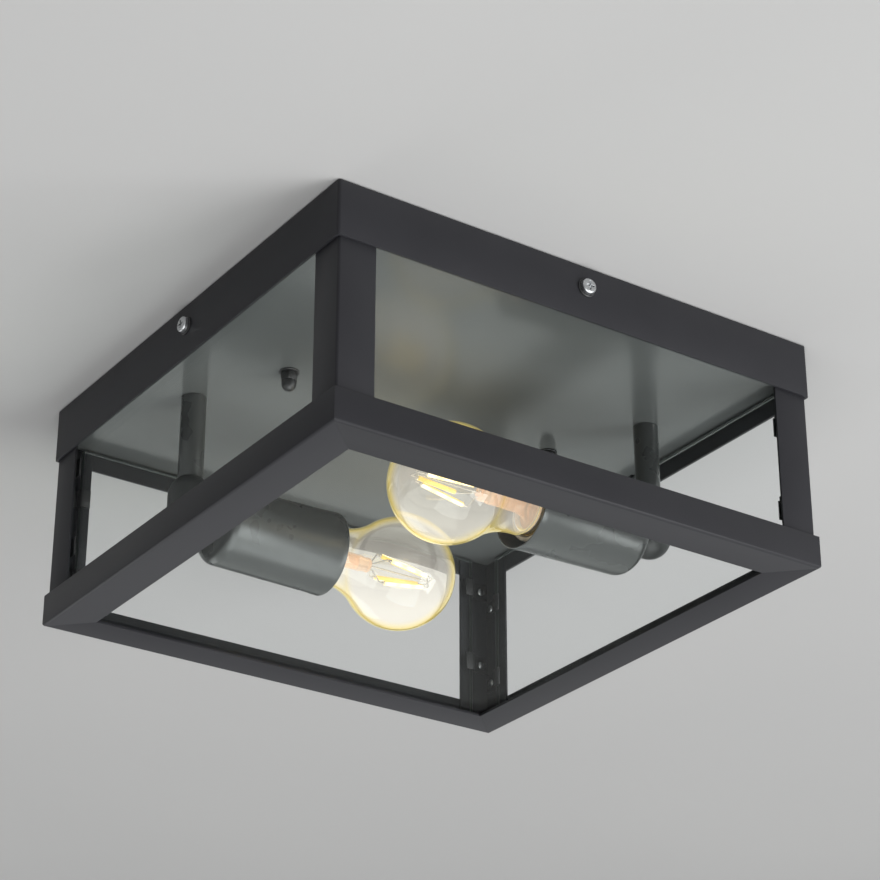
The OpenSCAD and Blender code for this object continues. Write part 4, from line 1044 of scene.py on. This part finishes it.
bulb_mix = add_node(bulb_finish, "ShaderNodeMixShader", {
    0: bulb_through.outputs["Value"], 1: bulb_shader.outputs["BSDF"],
    2: bulb_film.outputs["BSDF"]})
feed(bulb_finish, bulb_finish.node_tree.nodes["Material Output"], {
    "Surface": bulb_mix.outputs["Shader"]})
bulb_finish.cycles.emission_sampling = "NONE"
hand_over_both(bulb, "bulb_{}", "bulb_glass", "bulb_glass_{}", bulb_finish)

# ---- Lamps: caps and contacts ----------------------------------------------------------------
# Nickel-plated brass E27 caps with a rolled thread, cemented to the neck, and a black glass
# insulator with the contact at the end. They keep their CAD shapes inside the holders.

# Nickel plate: warm silver, semi-gloss, with faint clouds some 4 mm wide.
nickel, nickel_shader = new_finish("nickel_plated_brass")
nickel_place = add_node(nickel, "ShaderNodeTexCoord")
nickel_cloud = add_node(nickel, "ShaderNodeTexNoise", {
    "Vector": nickel_place.outputs["Object"], "Scale": 1 / (4 * MM), "Detail": 3.0})
nickel_tone = add_node(nickel, "ShaderNodeMix", {
    "Factor": nickel_cloud.outputs["Fac"], "A": linear("#b9b5ab"), "B": linear("#d3d0c8")},
    data_type="RGBA")
feed(nickel, nickel_shader, {
    "Metallic": 1.0, "Roughness": 0.27, "Base Color": nickel_tone.outputs["Result"]})

# Vitrite: black glass, poured hot round the contact, so glossy with slow ripples.
vitrite, vitrite_shader = new_finish("black_vitrite")
vitrite_place = add_node(vitrite, "ShaderNodeTexCoord")
vitrite_wave = add_node(vitrite, "ShaderNodeTexNoise", {
    "Vector": vitrite_place.outputs["Object"], "Scale": 1 / (3 * MM), "Detail": 1.0})
vitrite_bump = add_node(vitrite, "ShaderNodeBump", {
    "Height": vitrite_wave.outputs["Fac"], "Strength": 0.3, "Distance": 0.1 * MM})
feed(vitrite, vitrite_shader, {
    "Base Color": linear("#141216"), "Roughness": 0.12, "Normal": vitrite_bump.outputs["Normal"]})
for side in ("left", "right"):
    refinish(f"bulb_cap_{side}", nickel)
    refinish(f"bulb_contact_{side}", vitrite)

# ---- Lamps: glass mounts ---------------------------------------------------------------------
# A flared lead-glass tube, sealed into the neck, whose pressed solid end holds the wires.
flare_r = skirt_r - glass_t - 0.2
flare_x = cap_x - 3
flare_l = 13
stem_r = 4.2
stem_t = 0.8
stem_end = cap_x + 30
flare_angles = [math.radians(9 * i) for i in range(11)]
flare = [(flare_r - (flare_r - stem_r) * math.sin(a), flare_x + flare_l * (1 - math.cos(a)))
         for a in flare_angles]
stem = turn("glass_mount_left", flare + [
    (stem_r, stem_end - 6), (stem_r - 0.5, stem_end - 4.5), (stem_r - 0.3, stem_end - 1.2),
    (stem_r - 1.2, stem_end - 0.3), (0, stem_end), (0, stem_end - 7),
    (stem_r - stem_t, stem_end - 8.5)] +
    [(radius - stem_t, place - 0.1) for radius, place in flare[::-1]] + [flare[0]],
    lamp_at, "X", 64)
work_on(stem)
bpy.ops.object.shade_smooth()

# Lead glass: clear, with pale orange streaks from the copper-red wires that are sealed into it,
# and a faint painted glow in the same colours that stands for the filaments' light on it.
mount_glass, mount_shader = new_finish("warm_lead_glass")
mount_place = add_node(mount_glass, "ShaderNodeTexCoord")
mount_streak = add_node(mount_glass, "ShaderNodeTexNoise", {
    "Vector": mount_place.outputs["Object"], "Scale": 1 / (5 * MM), "Detail": 2.0})
mount_tone = add_node(mount_glass, "ShaderNodeMix", {
    "Factor": mount_streak.outputs["Fac"], "A": linear("#efbd8c"), "B": linear("#f8dfbe")},
    data_type="RGBA")
# The emission is a painted glow: the filaments' light drawn on the glass.
feed(mount_glass, mount_shader, {
    "Roughness": 0.05, "IOR": 1.55, "Transmission Weight": 0.8,
    "Base Color": mount_tone.outputs["Result"], "Emission Color": mount_tone.outputs["Result"],
    "Emission Strength": 0.1})
mount_glass.cycles.emission_sampling = "NONE"
hand_over_both(stem, "bulb_{}", "stem_glass", "bulb_stem_{}", mount_glass)

# ---- Lamps: support wires --------------------------------------------------------------------
# Bare nickel-iron wire, 0.8 mm thick: four to the sticks, and a rod with two bows at the crown.
for side in ("left", "right"):
    refinish(f"bulb_wires_{side}", nickel)

# ---- Lamps: filament sticks ------------------------------------------------------------------
# Four LED sticks to a lamp: chips on a glass strip, coated in yellow phosphor gel, with a metal
# tab at each end. They lean in towards the crown.
stick_x0 = 114
stick_l = 27
stick_r = 1.2
tab_r = 0.75
tab_l = 1.2
gel_round = 0.25
gel_r = stick_r - gel_round
gel_x = tab_l + 0.4
first_stick = -10
base_r = 8.5
top_r = 4
lean = math.atan((top_r - base_r) / stick_l)
stick_len = stick_l / math.cos(lean)

# Phosphor gel, alight: it burns out to a pale yellow over the chips, which sit 1.5 mm apart, and
# stays a deeper yellow on the strip's back, which faces the lamp's middle.
phosphor, phosphor_shader = new_finish("lit_phosphor_gel")
phosphor_place = add_node(phosphor, "ShaderNodeTexCoord")
phosphor_chips = add_node(phosphor, "ShaderNodeTexWave", {
    "Vector": phosphor_place.outputs["Object"], "Scale": 0.05 / (1.5 * MM), "Distortion": 0.0},
    wave_type="BANDS", bands_direction="X")
phosphor_tone = add_node(phosphor, "ShaderNodeMix", {
    "Factor": phosphor_chips.outputs["Fac"], "A": linear("#ffeb9c"), "B": linear("#fff6d0")},
    data_type="RGBA")
feed(phosphor, phosphor_shader, {
    "Base Color": linear("#f0c940"), "Roughness": 0.5, "Emission Strength": 1.6,
    "Emission Color": phosphor_tone.outputs["Result"]})
phosphor.cycles.emission_sampling = "NONE"

phosphor_back, back_shader = new_finish("phosphor_gel_back")
back_place = add_node(phosphor_back, "ShaderNodeTexCoord")
back_grain = add_node(phosphor_back, "ShaderNodeTexNoise", {
    "Vector": back_place.outputs["Object"], "Scale": 1 / (2 * MM), "Detail": 1.0})
back_tone = add_node(phosphor_back, "ShaderNodeMix", {
    "Factor": back_grain.outputs["Fac"], "A": linear("#d8b935"), "B": linear("#e6cc55")},
    data_type="RGBA")
feed(phosphor_back, back_shader, {
    "Base Color": linear("#d8b42e"), "Roughness": 0.5, "Emission Strength": 0.55,
    "Emission Color": back_tone.outputs["Result"]})
phosphor_back.cycles.emission_sampling = "NONE"

sticks = []
for quarter in range(4):
    stick = turn(f"stick_{quarter}", [(0, 0), (tab_r, 0), (tab_r, tab_l), (gel_r, tab_l)] +
                 arc((gel_r, gel_x), gel_round, -90, 0, 3) +
                 arc((gel_r, stick_len - gel_x), gel_round, 0, 90, 3) +
                 [(tab_r, stick_len - tab_l), (tab_r, stick_len), (0, stick_len)],
                 (0, 0, 0), "X", 24)
    stick.data.materials.append(phosphor)
    stick.data.materials.append(nickel)
    stick.data.materials.append(phosphor_back)
    shape(stick)
    pick("FACE", lambda corners: sum(corner[2] for corner in corners) < 0)
    stick.active_material_index = 2
    bpy.ops.object.material_slot_assign()
    pick("FACE", lambda corners: all(corner[0] < tab_l + 0.05 for corner in corners)
         or all(corner[0] > stick_len - tab_l - 0.05 for corner in corners))
    stick.active_material_index = 1
    bpy.ops.object.material_slot_assign()
    bpy.ops.object.mode_set(mode="OBJECT")
    tilt = Matrix.Rotation(-lean, 4, "Y")
    outwards = Matrix.Translation(Vector((stick_x0, 0, base_r)) * MM)
    round_axis = Matrix.Rotation(math.radians(first_stick + 90 * quarter), 4, "X")
    stick.matrix_world = Matrix.Translation(Vector(lamp_at) * MM) @ round_axis @ outwards @ tilt
    work_on(stick)
    settle()
    sticks.append(stick)
sticks_left = joined(sticks, "phosphor_sticks_left")
sticks_right = copy_turned(sticks_left, "phosphor_sticks_right", 180)
for piece, side in ((sticks_left, "left"), (sticks_right, "right")):
    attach(piece, f"bulb_{side}")
    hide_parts(f"bulb_filaments_{side}")
